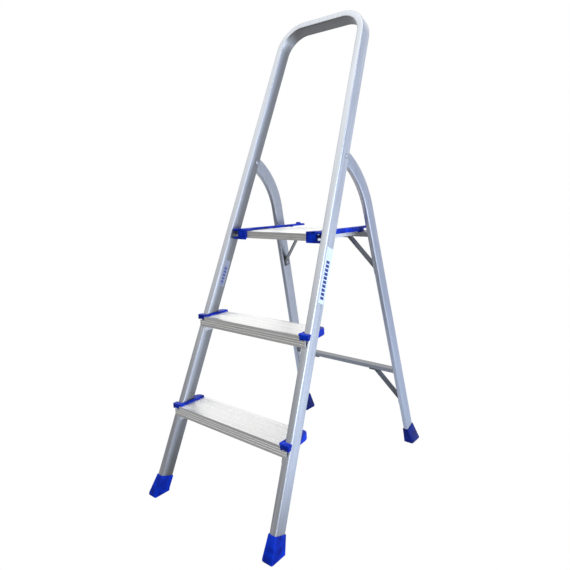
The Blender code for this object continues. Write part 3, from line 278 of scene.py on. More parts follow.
def rounded_rectangle(width, depth, radius, steps=6):
    """Rectangle with quarter-circle corners: centre of each corner plus the radius turned."""
    angle = np.linspace(0.0, np.pi / 2, steps)[None, :] + np.arange(4)[:, None] * np.pi / 2
    sx = np.array((1, -1, -1, 1))[:, None]
    sy = np.array((1, 1, -1, -1))[:, None]
    x = sx * (width / 2 - radius) + radius * np.cos(angle)
    y = sy * (depth / 2 - radius) + radius * np.sin(angle)
    return np.stack((x, y), axis=-1).reshape(-1, 2)


def offset_outline(outline, inset):
    """Outline moved inwards by the inset: each corner slides along its mitre."""
    before = outline - np.roll(outline, 1, axis=0)
    after = np.roll(outline, -1, axis=0) - outline
    before /= np.linalg.norm(before, axis=1, keepdims=True)
    after /= np.linalg.norm(after, axis=1, keepdims=True)
    area = np.sum(outline[:, 0] * np.roll(outline[:, 1], -1)
                  - outline[:, 1] * np.roll(outline[:, 0], -1))
    turn = math.copysign(1.0, area)
    normal = (before[:, ::-1] + after[:, ::-1]) * np.array((-1.0, 1.0)) * turn
    side = before[:, ::-1] * np.array((-1.0, 1.0)) * turn
    return outline + inset * normal / np.sum(normal * side, axis=1, keepdims=True)


def round_corners(outline, radius, steps=5):
    """Each corner becomes a parabola between points set back along its two sides."""
    before = np.roll(outline, 1, axis=0) - outline
    after = np.roll(outline, -1, axis=0) - outline
    long_before = np.linalg.norm(before, axis=1, keepdims=True)
    long_after = np.linalg.norm(after, axis=1, keepdims=True)
    back = np.minimum(radius, CORNER_SHARE * np.minimum(long_before, long_after))
    start = outline + before / long_before * back
    end = outline + after / long_after * back
    t = np.linspace(0.0, 1.0, steps)[None, :, None]
    curve = ((1 - t) ** 2 * start[:, None] + 2 * t * (1 - t) * outline[:, None]
             + t ** 2 * end[:, None])
    return curve.reshape(-1, 2)


def edge_steps(low, high, edge, steps=4):
    """(inset, height) pairs that round both rims of a moulding with a quarter circle."""
    angle = np.linspace(0.0, np.pi / 2, steps)
    inset = edge * (1 - np.sin(angle))
    rise = edge * (1 - np.cos(angle))
    return (np.concatenate((inset, inset[::-1])),
            np.concatenate((low + rise, high - rise[::-1])))


def moulding(outline, low, high, soft, place):
    """Prism of an outline with round corners and rims; place(u, v, height) gives points.

    outline may be an array or a function of height, soft is an (edge, corner) pair."""
    edge, corner = soft
    insets, heights = edge_steps(low, high, edge)
    rings = []
    for inset, height in zip(insets, heights):
        base = outline(height) if callable(outline) else outline
        ring = round_corners(offset_outline(np.array(base), inset), corner)
        rings.append(place(ring[:, 0], ring[:, 1], height))
    return loft(np.array(rings))


def brick(side, low, high, soft=SOFT):
    """Box with soft corners and rims, given for the right-hand side."""
    outline = ((low[0], low[1]), (high[0], low[1]), (high[0], high[1]), (low[0], high[1]))
    return moulding(outline, low[2], high[2], soft,
                    lambda u, v, z: np.stack((side * u, v, np.full_like(u, z)), axis=-1))


def cut(piece, cutters):
    """The piece with closed cutter shells taken out of it."""
    helpers = []
    for index, (vertices, faces) in enumerate(cutters):
        helpers.append(link_mesh(f"cutter_{index}", vertices, faces))
        boolean = piece.modifiers.new("cut", "BOOLEAN")
        boolean.object = helpers[-1]
        boolean.solver = "EXACT"
    bpy.context.view_layer.update()
    result = bpy.data.meshes.new_from_object(
        piece.evaluated_get(bpy.context.evaluated_depsgraph_get()))
    piece.modifiers.clear()
    piece.data = result
    for helper in helpers:
        bpy.data.objects.remove(helper)
    smooth(result)


def round_cutter(centre, radius, length):
    """Cylinder along X: a circle in Y and Z at both ends."""
    angle = np.linspace(0.0, 2 * np.pi, 24, endpoint=False)
    ends = np.array((-length / 2, length / 2))[:, None]
    x, y, z = np.broadcast_arrays(centre[0] + ends, centre[1] + radius * np.cos(angle),
                                  centre[2] + radius * np.sin(angle))
    return loft(np.stack((x, y, z), axis=-1))


# ------------------------------------------------------------------ materials
def linear(code):
    """sRGB hex colour as linear values."""
    srgb = np.array([int(code[i:i + 2], 16) for i in (1, 3, 5)]) / 255.0
    values = np.where(srgb <= 0.04045, srgb / 12.92, ((srgb + 0.055) / 1.055) ** 2.4)
    return (*values.tolist(), 1.0)


def add(tree, kind, inputs=None, **settings):
    """A node with its settings, its input values and its incoming links."""
    node = tree.nodes.new(kind)
    for key, value in settings.items():
        setattr(node, key, value)
    for key, value in (inputs or {}).items():
        if isinstance(value, bpy.types.NodeSocket):
            tree.links.new(value, node.inputs[key])
        else:
            node.inputs[key].default_value = value
    return node


def start_material(name, **values):
    """A material with its Principled shader's constant sockets set."""
    material = bpy.data.materials.new(name)
    material.use_nodes = True
    tree = material.node_tree
    shader = tree.nodes["Principled BSDF"]
    for key, value in values.items():
        shader.inputs[key.replace("_", " ")].default_value = value
    return material, tree, shader


def wire(tree, shader, colour=None, roughness=None, normal=None):
    """Links the given sockets to the shader's."""
    for key, socket in (("Base Color", colour), ("Roughness", roughness), ("Normal", normal)):
        if socket is not None:
            tree.links.new(socket, shader.inputs[key])


# Pattern sizes in millimetres.  Real die lines are about 0.2 mm, real grain and spangles about
# 0.3 mm: each is drawn as coarse as it needs to be to show from across a room.
DIE_LINE_MM = (0.9, 0.9, 400.0)
BAND_MM = (6.67, 6.67, 333.0)
GRAIN_MM = 0.714
FLOW_MM = 26.3
SPANGLE_MM = 1.11

BAND_SHARE = 0.55
STREAK_SPREAD = (0.30, 0.70)                # noise values of the darkest and brightest metal
DARK_STREAK, BRIGHT_STREAK = 0.84, 1.12
# Painted shade on the aluminium: faces turned inboard and faces turned down are drawn darker,
# towards a shade colour.
INSIDE_EDGE = (-0.12, -0.02)                # X place times X normal, in metres, of inboard faces
INSIDE_PAINTED_SHADE = 0.62
REARWARD_PAINTED_SHADE = (0.3, 1.3)                  # share of INSIDE_PAINTED_SHADE, front to rear
UNDER_TILT = (-0.8, -0.1)                   # Z normal from straight down to upright
NO_DEPTH = (-1.0, 1.0)


def painted_shade_cover(tree, place, laid, depth):
    """Painted shade: how far faces turned down or inboard go to the shade colour.

    Inboard faces darken further from front to rear over the depth, two places on laid's Y."""
    facing = add(tree, "ShaderNodeTexCoord").outputs["Normal"]
    normal = add(tree, "ShaderNodeSeparateXYZ", {"Vector": facing})
    point = add(tree, "ShaderNodeSeparateXYZ", {"Vector": place})
    outboard = add(tree, "ShaderNodeMath", {0: point.outputs["X"], 1: normal.outputs["X"]},
                   operation="MULTIPLY").outputs["Value"]
    inside = add(tree, "ShaderNodeMapRange",
                 {"Value": outboard, "From Min": INSIDE_EDGE[0], "From Max": INSIDE_EDGE[1],
                  "To Min": INSIDE_PAINTED_SHADE, "To Max": 0.0}).outputs["Result"]
    across = add(tree, "ShaderNodeSeparateXYZ", {"Vector": laid}).outputs["Y"]
    rearward = add(tree, "ShaderNodeMapRange",
                   {"Value": across, "From Min": depth[0], "From Max": depth[1],
                    "To Min": REARWARD_PAINTED_SHADE[0], "To Max": REARWARD_PAINTED_SHADE[1]},
                   interpolation_type="SMOOTHSTEP").outputs["Result"]
    inside = add(tree, "ShaderNodeMath", {0: inside, 1: rearward},
                 operation="MULTIPLY").outputs["Value"]
    under = add(tree, "ShaderNodeMapRange",
                {"Value": normal.outputs["Z"], "From Min": UNDER_TILT[0],
                 "From Max": UNDER_TILT[1], "To Min": 1.0, "To Max": 0.0}).outputs["Result"]
    return add(tree, "ShaderNodeMath", {0: inside, 1: under},
               operation="MAXIMUM").outputs["Value"]


def streaks(tree, laid, size_mm, detail):
    """Noise stretched to a size in millimetres along each axis of the laid-out metal."""
    cycles = tuple(1000.0 / size for size in size_mm)
    spread = add(tree, "ShaderNodeVectorMath", {0: laid, 1: cycles},
                 operation="MULTIPLY").outputs["Vector"]
    return add(tree, "ShaderNodeTexNoise", {"Vector": spread, "Scale": 1.0,
                                            "Detail": detail}).outputs["Fac"]


def mill_aluminium(name, turn, base="#C6CAD2", painted_shade_colour="#76726C", rough=(0.30, 0.46),
                   depth=NO_DEPTH):
    """Extruded aluminium, mill finish: faint die lines and broad soft bands along it.

    turn rotates the pattern so that its Z runs along the extrusion."""
    material, tree, shader = start_material(name, Metallic=1.0)
    place = add(tree, "ShaderNodeTexCoord").outputs["Object"]
    laid = add(tree, "ShaderNodeMapping", {"Vector": place, "Rotation": turn},
               vector_type="TEXTURE").outputs["Vector"]
    lines = streaks(tree, laid, DIE_LINE_MM, 3.0)
    bands = streaks(tree, laid, BAND_MM, 2.0)
    both = add(tree, "ShaderNodeMix", {"Factor": BAND_SHARE, "A": lines,
                                       "B": bands}).outputs["Result"]
    metal = add(tree, "ShaderNodeValToRGB", {"Fac": both})
    low, high = metal.color_ramp.elements
    low.position, high.position = STREAK_SPREAD
    shade = np.array(linear(base)[:3])
    low.color = (*(shade * DARK_STREAK), 1.0)
    high.color = (*np.minimum(shade * BRIGHT_STREAK, 1.0), 1.0)
    # Painted shade: the metal goes towards the shade colour on faces turned down or inboard.
    colour = add(tree, "ShaderNodeMix", {"Factor": painted_shade_cover(tree, place, laid, depth),
                                         "A": metal.outputs["Color"],
                                         "B": linear(painted_shade_colour)}, data_type="RGBA")
    roughness = add(tree, "ShaderNodeMapRange",
                    {"Value": both, "From Min": STREAK_SPREAD[0],
                     "From Max": STREAK_SPREAD[1], "To Min": rough[0],
                     "To Max": rough[1]}).outputs["Result"]
    bump = add(tree, "ShaderNodeBump", {"Height": lines, "Strength": 0.12,
                                        "Distance": 0.0002}).outputs["Normal"]
    wire(tree, shader, colour.outputs["Result"], roughness, bump)
    return material


def moulded_polypropylene(name, low_colour, high_colour):
    """Blue injection-moulded polypropylene: soft gloss, fine spark-eroded grain."""
    material, tree, shader = start_material(name, IOR=1.49, Specular_IOR_Level=0.12)
    place = add(tree, "ShaderNodeTexCoord").outputs["Object"]
    grain = add(tree, "ShaderNodeTexNoise",
                {"Vector": place, "Scale": 1000.0 / GRAIN_MM, "Detail": 2.0}).outputs["Fac"]
    flow = add(tree, "ShaderNodeTexNoise",
               {"Vector": place, "Scale": 1000.0 / FLOW_MM, "Detail": 3.0}).outputs["Fac"]
    colour = add(tree, "ShaderNodeValToRGB", {"Fac": flow})
    low, high = colour.color_ramp.elements
    low.position, high.position = 0.35, 0.68
    low.color, high.color = linear(low_colour), linear(high_colour)
    roughness = add(tree, "ShaderNodeMapRange", {"Value": grain, "To Min": 0.30,
                                                 "To Max": 0.48}).outputs["Result"]
    bump = add(tree, "ShaderNodeBump", {"Height": grain, "Strength": 0.15,
                                        "Distance": 0.0001}).outputs["Normal"]
    wire(tree, shader, colour.outputs["Color"], roughness, bump)
    return material


def zinc_steel(name):
    """Zinc-plated steel fasteners: dull bright plating with small spangles."""
    material, tree, shader = start_material(name, Metallic=1.0)
    place = add(tree, "ShaderNodeTexCoord").outputs["Object"]
    cells = add(tree, "ShaderNodeTexVoronoi",
                {"Vector": place, "Scale": 1000.0 / SPANGLE_MM}).outputs["Distance"]
    colour = add(tree, "ShaderNodeValToRGB", {"Fac": cells})
    low, high = colour.color_ramp.elements
    low.color, high.color = linear("#8F949C"), linear("#B9BDC4")
    roughness = add(tree, "ShaderNodeMapRange", {"Value": cells, "To Min": 0.32,
                                                 "To Max": 0.5}).outputs["Result"]
    wire(tree, shader, colour.outputs["Color"], roughness)
    return material


BLOCK_REACH = 0.27                          # half the row's width, as a share of the sticker's
BLOCK_SHARE = 0.72                          # printed part of each block's pitch
ROW_MIDDLE, ROW_REACH = 0.42, 0.36          # along the sticker
MOTTLE = 40.0                               # to the sticker


def printed_vinyl(name, along_mm, bar_mm, paper, ink):
    """Glossy vinyl sticker: mottled pale field with a row of plain blue blocks on it.

    UV runs 0-1 across and along the sticker."""
    material, tree, shader = start_material(name, Roughness=0.28, IOR=1.52)
    uv = add(tree, "ShaderNodeTexCoord").outputs["UV"]
    parts = add(tree, "ShaderNodeSeparateXYZ", {"Vector": uv})
    across, along = parts.outputs["X"], parts.outputs["Y"]
    middle = add(tree, "ShaderNodeMath", {0: across, 1: 0.5, 2: BLOCK_REACH},
                 operation="COMPARE").outputs["Value"]
    field = add(tree, "ShaderNodeMath", {0: along, 1: ROW_MIDDLE, 2: ROW_REACH},
                operation="COMPARE").outputs["Value"]
    pitch = add(tree, "ShaderNodeMath", {0: along, 1: along_mm / bar_mm},
                operation="MULTIPLY").outputs["Value"]
    step = add(tree, "ShaderNodeMath", {0: pitch}, operation="FRACT").outputs["Value"]
    blocks = add(tree, "ShaderNodeMath", {0: step, 1: BLOCK_SHARE},
                 operation="LESS_THAN").outputs["Value"]
    row = add(tree, "ShaderNodeMath", {0: middle, 1: blocks},
              operation="MULTIPLY").outputs["Value"]
    printed = add(tree, "ShaderNodeMath", {0: row, 1: field},
                  operation="MULTIPLY").outputs["Value"]
    mottle = add(tree, "ShaderNodeTexNoise", {"Vector": uv, "Scale": MOTTLE})
    sheet = add(tree, "ShaderNodeValToRGB", {"Fac": mottle.outputs["Fac"]})
    low, high = sheet.color_ramp.elements
    low.color, high.color = linear(paper[0]), linear(paper[1])
    colour = add(tree, "ShaderNodeMix", {"Factor": printed, "A": sheet.outputs["Color"],
                                         "B": linear(ink)}, data_type="RGBA")
    wire(tree, shader, colour.outputs["Result"])
    return material


ALONG_STILE = (-HOOP_LEAN, 0.0, 0.0)
ALONG_LEG = (LEG_LEAN, 0.0, 0.0)
ALONG_X = (0.0, math.pi / 2, 0.0)
STILE_FACE = FLOOR_Y * math.cos(HOOP_LEAN)  # front face, square to the stile
STILE_SHADE = (0.002, 0.022)                # behind the front face
STILE_METAL = mill_aluminium("mill_aluminium_stile", ALONG_STILE,
                             depth=(STILE_FACE + STILE_SHADE[0],
                                    STILE_FACE + STILE_SHADE[1]))
LEG_METAL = mill_aluminium("mill_aluminium_leg", ALONG_LEG, base="#AEB3BF",
                           painted_shade_colour="#AEAEAE")
TREAD_METAL = mill_aluminium("mill_aluminium_tread", ALONG_X, base="#F0F0F0")
# Painted shade: the braces under the platform get a darker copy of the aluminium, for the shade
# that falls there.
SHADED_BRACE_METAL = mill_aluminium("mill_aluminium_brace_painted_shade", ALONG_X, base="#74767A",
                             rough=(0.34, 0.5))
BAR_METAL = mill_aluminium("mill_aluminium_bar", ALONG_X, base="#94969A", rough=(0.34, 0.5))
BLUE_PLASTIC = moulded_polypropylene("moulded_polypropylene_blue", "#001A84", "#0034C8")
# Painted shade: the rear feet are the same blue plastic as the front feet, drawn darker for the
# shade they stand in.
SHADED_BLUE_PLASTIC = moulded_polypropylene("moulded_polypropylene_blue_painted_shade", "#000C54", "#001C7C")
ZINC = zinc_steel("zinc_plated_steel")
LABEL_VINYL = printed_vinyl("printed_vinyl_label", 140.0, 10.0, ("#C4D4EE", "#DCE6F6"),
                            "#1C2C78")
SMALL_VINYL = printed_vinyl("printed_vinyl_small", 70.0, 9.0, ("#8C90A4", "#A0A4B4"),
                            "#4A5490")


# ------------------------------------------------------------------ bent tubes
def hoop_line(steps=28):
    """Centre line up the right stile, round two bends and down the left: x, along, heading."""
    tilt = math.atan(HOOP_TAPER)
    bar = HOOP_LENGTH - HOOP_TUBE[0] / 2
    corner_x = HOOP_FOOT_HALF_WIDTH - HOOP_X_WIDTH / 2 - HOOP_TAPER * bar
    turn = math.pi / 2 - tilt
    centre_x = corner_x - HOOP_BEND_RADIUS * math.tan(turn / 2)
    foot_x = HOOP_FOOT_HALF_WIDTH - HOOP_X_WIDTH / 2 - HOOP_TAPER * TUBE_END
    heading = tilt + turn * np.linspace(0.0, 1.0, steps)
    x = np.concatenate(([foot_x], centre_x + HOOP_BEND_RADIUS * np.cos(heading)))
    along = np.concatenate(([TUBE_END], bar - HOOP_BEND_RADIUS
                            + HOOP_BEND_RADIUS * np.sin(heading)))
    heading = np.concatenate(([tilt], heading))
    return (np.concatenate((x, -x[::-1])), np.concatenate((along, along[::-1])),
            np.concatenate((heading, np.pi - heading[::-1])))


def hoop_rings(inset, edge):
    """The hoop's section, turned square to its centre line at each step."""
    section = rounded_rectangle(HOOP_TUBE[0] - 2 * inset, HOOP_TUBE[1] - 2 * inset, edge)
    x, along, heading = (values[:, None] for values in hoop_line())
    a, b = section[None, :, 0], section[None, :, 1]
    return hoop_point(x + a * np.cos(heading), along + a * np.sin(heading),
                      HOOP_TUBE[1] / 2 + b)


def slot_shell(side):
    """Long box through the stile's rear wall, where the rear leg swings in."""
    pivot_along = ((PIVOT.y - FLOOR_Y) * math.sin(HOOP_LEAN) + PIVOT.z * math.cos(HOOP_LEAN))
    along = pivot_along + np.array(SLOT)[:, None]
    middle = HOOP_FOOT_HALF_WIDTH - HOOP_X_WIDTH / 2 - HOOP_TAPER * along
    across = (HOOP_TUBE[0] / 2 - HOOP_WALL) * np.array((-1, 1, 1, -1))
    behind = HOOP_TUBE[1] + 3 * HOOP_WALL * np.array((-1, -1, 1, 1))
    return loft(hoop_point(side * middle + across, along, np.broadcast_to(behind, (2, 4))))


def build_hoop():
    """Hollow tube along hoop_line, with slots for the legs and holes for the pins."""
    vertices, faces = tube(hoop_rings(0.0, HOOP_EDGE), hoop_rings(HOOP_WALL, HOOP_EDGE / 2))
    hoop = make_piece("bent_hoop", vertices, faces, "front_frame", STILE_METAL,
                      ("front_hoop",))
    cutters = []
    for side in SIDES.values():
        pivot_x = side * stile_inner(PIVOT.y, PIVOT.z)
        cutters += [slot_shell(side),
                    round_cutter((pivot_x, PIVOT.y, PIVOT.z), PIVOT_HOLE, BORE_SPAN),
                    round_cutter((side * stile_inner(HINGE.y, HINGE.z), HINGE.y, HINGE.z),
                                 HINGE_HOLE, HINGE_BORE_SPAN)]
    cut(hoop, cutters)


def leg_line(steps=28):
    """Leg centre line from its top end to its foot: y, z and lean."""
    lean = LEG_TOP_LEAN - LEG_BEND * np.linspace(0.0, 1.0, steps)
    y = BEND_START_Y - LEG_BEND_RADIUS * (math.cos(LEG_LEAN) - np.cos(lean))
    z = BEND_START_Z + LEG_BEND_RADIUS * (np.sin(lean) - math.sin(LEG_LEAN))
    tip = (PIVOT.y - LEG_PAST_PIVOT * math.sin(LEG_TOP_LEAN),
           PIVOT.z + LEG_PAST_PIVOT * math.cos(LEG_TOP_LEAN))
    end = rear_point(0.0, TUBE_END, LEG_TUBE[1] / 2)
    return (np.concatenate(([tip[0]], y, [end[1]])), np.concatenate(([tip[1]], z, [end[2]])),
            np.concatenate(([LEG_TOP_LEAN], lean, [LEG_LEAN])))


def leg_rings(side, inset, edge):
    """The leg's section square to its centre line in side view, sheared along its splay."""
    section = rounded_rectangle(LEG_TUBE[0] - 2 * inset, LEG_TUBE[1] - 2 * inset, edge)
    y, z, lean = (values[:, None] for values in leg_line())
    a, b = section[None, :, 0], section[None, :, 1]
    height = z + b * np.sin(lean)
    x = side * (LEG_FOOT_X - LEG_SPLAY * height + a)
    return np.stack((x, y + b * np.cos(lean), height), axis=-1)


def build_leg(hand, side):
    """Hollow curved tube along leg_line, with a hole for the pivot."""
    vertices, faces = tube(leg_rings(side, 0.0, LEG_EDGE),
                           leg_rings(side, LEG_WALL, LEG_EDGE / 2))
    leg = make_piece(f"curved_leg_{hand}", vertices, faces, "rear_frame",
                     LEG_METAL, (f"rear_leg_{hand}",))
    centre = (side * (LEG_FOOT_X - LEG_SPLAY * PIVOT.z), PIVOT.y, PIVOT.z)
    cut(leg, [round_cutter(centre, PIVOT_HOLE, LEG_BORE_SPAN)])


# ------------------------------------------------------------------ feet
def foot_shell(sole, collar, size, cover, tube_size, tube_edge):
    """Rings up the outside from the sole, over the rim and down into the socket."""
    wall = 2 * FOOT_WALL
    room = 2 * GAP
    rings = [sole(size[0] - inset, size[1] - inset, z) for inset, z in SOLE_RIM]
    outer = (tube_size[0] + wall, tube_size[1] + wall)
    rings += [collar(outer[0] - inset, outer[1] - inset, SOLE_EDGE - inset / 2, cover - drop)
              for inset, drop in COLLAR_RIM]
    rings += [collar(tube_size[0] + room, tube_size[1] + room, tube_edge, along)
              for along in (cover, TUBE_END - SOCKET_ROOM)]
    return loft(np.array(rings))


def build_front_foot(hand, side):
    """Front foot: level rings at the sole, rings square to the stile at the collar."""
    centre = (HOOP_FOOT_HALF_WIDTH - HOOP_X_WIDTH / 2 + FRONT_SOLE_SHIFT[0],
              FLOOR_Y + STILE_LEVEL_DEPTH / 2 + FRONT_SOLE_SHIFT[1])

    def sole(width, depth, z):
        ring = rounded_rectangle(width, depth, SOLE_EDGE)
        return np.stack((side * (centre[0] + ring[:, 0]), centre[1] + ring[:, 1],
                         np.full(len(ring), z)), axis=-1)

    def collar(width, depth, edge, along):
        ring = rounded_rectangle(width, depth, edge)
        middle = HOOP_FOOT_HALF_WIDTH - HOOP_X_WIDTH / 2 - HOOP_TAPER * along
        return hoop_point(side * (middle + ring[:, 0]), along, HOOP_TUBE[1] / 2 + ring[:, 1])

    vertices, faces = foot_shell(sole, collar, FRONT_SOLE, FRONT_COVER,
                                 (HOOP_X_WIDTH, HOOP_TUBE[1]), HOOP_EDGE)
    make_piece(f"moulded_front_foot_{hand}", vertices, faces, "front_frame",
               BLUE_PLASTIC, (f"front_foot_{hand}",))


def build_rear_foot(hand, side):
    """Rear foot: level rings at the sole, rings square to the leg at the collar."""
    centre = (LEG_FOOT_X + REAR_SOLE_SHIFT[0],
              LEG_FRONT_Y + LEG_TUBE[1] / 2 / math.cos(LEG_LEAN) + REAR_SOLE_SHIFT[1])

    def sole(width, depth, z):
        ring = rounded_rectangle(width, depth, SOLE_EDGE)
        return np.stack((side * (centre[0] + ring[:, 0]), centre[1] + ring[:, 1],
                         np.full(len(ring), z)), axis=-1)

    def collar(width, depth, edge, along):
        ring = rounded_rectangle(width, depth, edge)
        point = rear_point(0.0, along, LEG_TUBE[1] / 2 + ring[:, 1])
        point[:, 0] = side * (LEG_FOOT_X - LEG_SPLAY * point[:, 2] + ring[:, 0])
        return point

    vertices, faces = foot_shell(sole, collar, REAR_SOLE, REAR_COVER, LEG_TUBE, LEG_EDGE)
    # The rear feet take the darker blue, painted shade.
    make_piece(f"moulded_rear_foot_{hand}", vertices, faces, "rear_frame",
               SHADED_BLUE_PLASTIC, (f"rear_foot_{hand}",))


# ------------------------------------------------------------------ tread end caps
def build_end_cap(level, hand, side):
    """Web beside the stile with a round-ended rear arm, and an arm round the front corner."""
    low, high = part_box(f"tread_{level}")
    height = high.z
    web_front = low.y + TREAD_WALL + PLATE_GAP
    end = stile_front(height) + STILE_LEVEL_DEPTH + CAP_REAR_ARM
    inboard = stile_inner(high.y, height + CAP_RISE) - CAP_WEB
    turn = np.linspace(0.0, np.pi / 2, 7)

    def web(z):
        rear = stile_front(z) + STILE_LEVEL_DEPTH
        tip = stile_outer(end, z) - CAP_REAR_INSET
        arc = np.stack((tip - CAP_REAR_RADIUS * (1 - np.cos(turn)),
                        end - CAP_REAR_RADIUS * (1 - np.sin(turn))), axis=-1)
        return [(inboard, web_front), (stile_inner(web_front, z) - PLATE_GAP, web_front),
                (stile_inner(rear, z) - PLATE_GAP, rear + PLATE_GAP),
                (stile_outer(rear, z) - CAP_REAR_INSET, rear + PLATE_GAP),
                *arc.tolist(), (inboard, end)]

    lip = stile_front(height) - CAP_FRONT_ARM
    inner = stile_inner(lip, height) - CAP_ARM_OVERLAP
    outer = stile_outer(lip, height) + CAP_OUTER_LIP

    def arm(z):
        front = stile_front(z) - PLATE_GAP
        return [(inner, lip), (outer, lip), (outer, front), (inner, front)]

    def level_place(u, v, z):
        down = np.clip((height - z) / CAP_DROP, 0.0, 1.0)
        past = np.clip((v - end + CAP_REAR_ARM) / CAP_REAR_ARM, 0.0, 1.0)
        return np.stack((side * u, v, z + CAP_REAR_LIFT * down * past ** 2), axis=-1)

    def sloped_place(u, v, z):
        down = np.clip((height - z) / CAP_ARM_DROP, 0.0, 1.0)
        lift = CAP_ARM_LIFT * down * (outer - u) / (outer - inner)
        return np.stack((side * u, v, z + lift), axis=-1)

    parts = [moulding(web, height - CAP_DROP, height + CAP_RISE, WEB_SOFT, level_place),
             moulding(arm, height - CAP_ARM_DROP, height + CAP_RISE - GAP, ARM_SOFT,
                      sloped_place)]
    vertices, faces = shells(parts)
    make_piece(f"moulded_end_cap_{level}_{hand}", vertices, faces, "front_frame",
               BLUE_PLASTIC, (f"tread_{level}_end_cap_{hand}",))


# ------------------------------------------------------------------ platform rails
def hook_outline(panel_low, panel_high):
    """(y, z) outline of a rail's rear end: over the crossbar, lip behind it, lift tail."""
    top = panel_high.z + RAIL_RISE
    bar_top = ((panel_high.z - BAR_BELOW_PLATFORM - BAR_INSET * math.sin(LEG_LEAN))
               / math.cos(LEG_LEAN))
    slide = np.array((math.cos(LEG_LEAN), math.sin(LEG_LEAN)))
    lift = np.array((-math.sin(LEG_LEAN), math.cos(LEG_LEAN)))
    bar_front = rear_point(0.0, bar_top, BAR_INSET)[1:]
    bar_rear = rear_point(0.0, bar_top, BAR_INSET + BAR_DEPTH)[1:]
    lip_front = rear_point(0.0, bar_top - HOOK_LIP_DROP, BAR_INSET + BAR_DEPTH)[1:]
    lip_front = lip_front + slide * PLATE_GAP
    lip_rear = lip_front + slide * HOOK_LIP
    inner_corner = bar_rear + (slide + lift) * PLATE_GAP
    front_corner = bar_front + lift * PLATE_GAP
    under = panel_high.z + GAP
    root = lip_rear + lift * (under - lip_rear[1]) / lift[1]
    tail = panel_high.y + HOOK_TAIL
    bump = tail - BUMP_FROM_END
    start = panel_high.y - CORNER_DEPTH
    return np.array([(start, under + GAP), (panel_high.y + GAP, under + GAP),
                     (panel_high.y + GAP, front_corner[1]), tuple(front_corner),
                     tuple(inner_corner), tuple(lip_front), tuple(lip_rear),
                     (root[0], under), (tail, under), (tail, top - BUMP_RISE / 2),
                     (tail - BUMP_RISE / 2, top), (bump + BUMP_LENGTH / 2, top),
                     (bump + BUMP_LENGTH / 4, top + BUMP_RISE),
                     (bump - BUMP_LENGTH / 4, top + BUMP_RISE),
                     (bump - BUMP_LENGTH / 2, top), (start, top - GAP)])


def build_rail(hand, side):
    """Strip and skirt along the panel, corner cap with two prongs, hook and lift tail."""
    low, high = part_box("platform_panel")
    half, front, rear, deck = high.x, low.y, high.y, high.z
    inner, outer, top = half - RAIL_STRIP, half + GAP + RAIL_SKIRT, deck + RAIL_RISE
    face = front - CORNER_FRONT
    corner = half - CORNER_LENGTH
    bottom = deck - CORNER_DROP
    cheek = half + GAP
    tip = stile_inner(HINGE.y, HINGE.z) - PRONG_SHORT
    prong_top = deck + CORNER_RISE - GAP
    parts = [
        brick(side, (inner, face, deck + GAP), (outer, rear, top), STRIP_SOFT),
        brick(side, (cheek, HINGE.y + COLLAR_REACH, deck - RAIL_SKIRT_DROP),
              (outer - GAP, rear, top - GAP)),
        brick(side, (corner, face, bottom), (outer - GAP, front - GAP, deck + CORNER_RISE),
              CORNER_SOFT),
        brick(side, (corner + GAP, face + GAP, deck + 2 * GAP),
              (inner + GAP, front + CORNER_DEPTH, deck + CORNER_RISE - GAP), CORNER_SOFT),
        brick(side, (cheek, face + GAP, bottom + GAP),
              (outer - 2 * GAP, front + CORNER_SIDE_DEPTH, deck)),
        brick(side, (cheek, face + 2 * GAP, prong_top - PRONG[0]),
              (tip, face + PRONG[1], prong_top), PRONG_SOFT),
        brick(side, (cheek, face + 2 * GAP, bottom + GAP),
              (tip, face + PRONG[1], bottom + PRONG[0]), PRONG_SOFT),
        moulding(hook_outline(low, high), inner + GAP, outer - GAP, HOOK_SOFT,
                 lambda y, z, x: np.stack((np.full_like(y, side * x), y, z), axis=-1)),
    ]
    vertices, faces = shells(parts)
    make_piece(f"moulded_rail_{hand}", vertices, faces, "platform",
               BLUE_PLASTIC, (f"platform_rail_{hand}",))


# ------------------------------------------------------------------ stickers
def build_sticker(name, side, outside, along, behind, material):
    """Thin rounded slab on a stile's outer or inner face, with its own UV map."""
    centre = ((along[0] + along[1]) / 2, (behind[0] + behind[1]) / 2)
    size = (behind[1] - behind[0], along[1] - along[0])
    outline = rounded_rectangle(size[0], size[1], STICKER_CORNER)

    def place(u, v, height):
        a, b = centre[0] + v, centre[1] + u
        edge = HOOP_FOOT_HALF_WIDTH - HOOP_TAPER * a
        x = edge + height if outside else edge - HOOP_X_WIDTH - height
        return hoop_point(side * x, a, b)

    heights = (STICKER_LIFT, STICKER_THICKNESS)
    rings = np.array([place(outline[:, 0], outline[:, 1], height) for height in heights])
    vertices, faces = loft(rings)
    piece = make_piece(name, vertices, faces, "front_frame", material)
    uv = np.tile(outline / np.array(size) + 0.5, (2, 1))
    loops = np.zeros(len(piece.data.loops), dtype=np.int32)
    piece.data.loops.foreach_get("vertex_index", loops)
    piece.data.uv_layers.new(name="UVMap").data.foreach_set("uv", uv[loops].ravel())


# ------------------------------------------------------------------ floor, light, camera
WHITE = (1.0, 1.0, 1.0, 1.0)
FLOOR_REACH = 14.0
FLOOR_DROP = 0.0004
CARD_CHANGE = (-0.5, 0.1)                   # Y where the floor turns from grey to pale


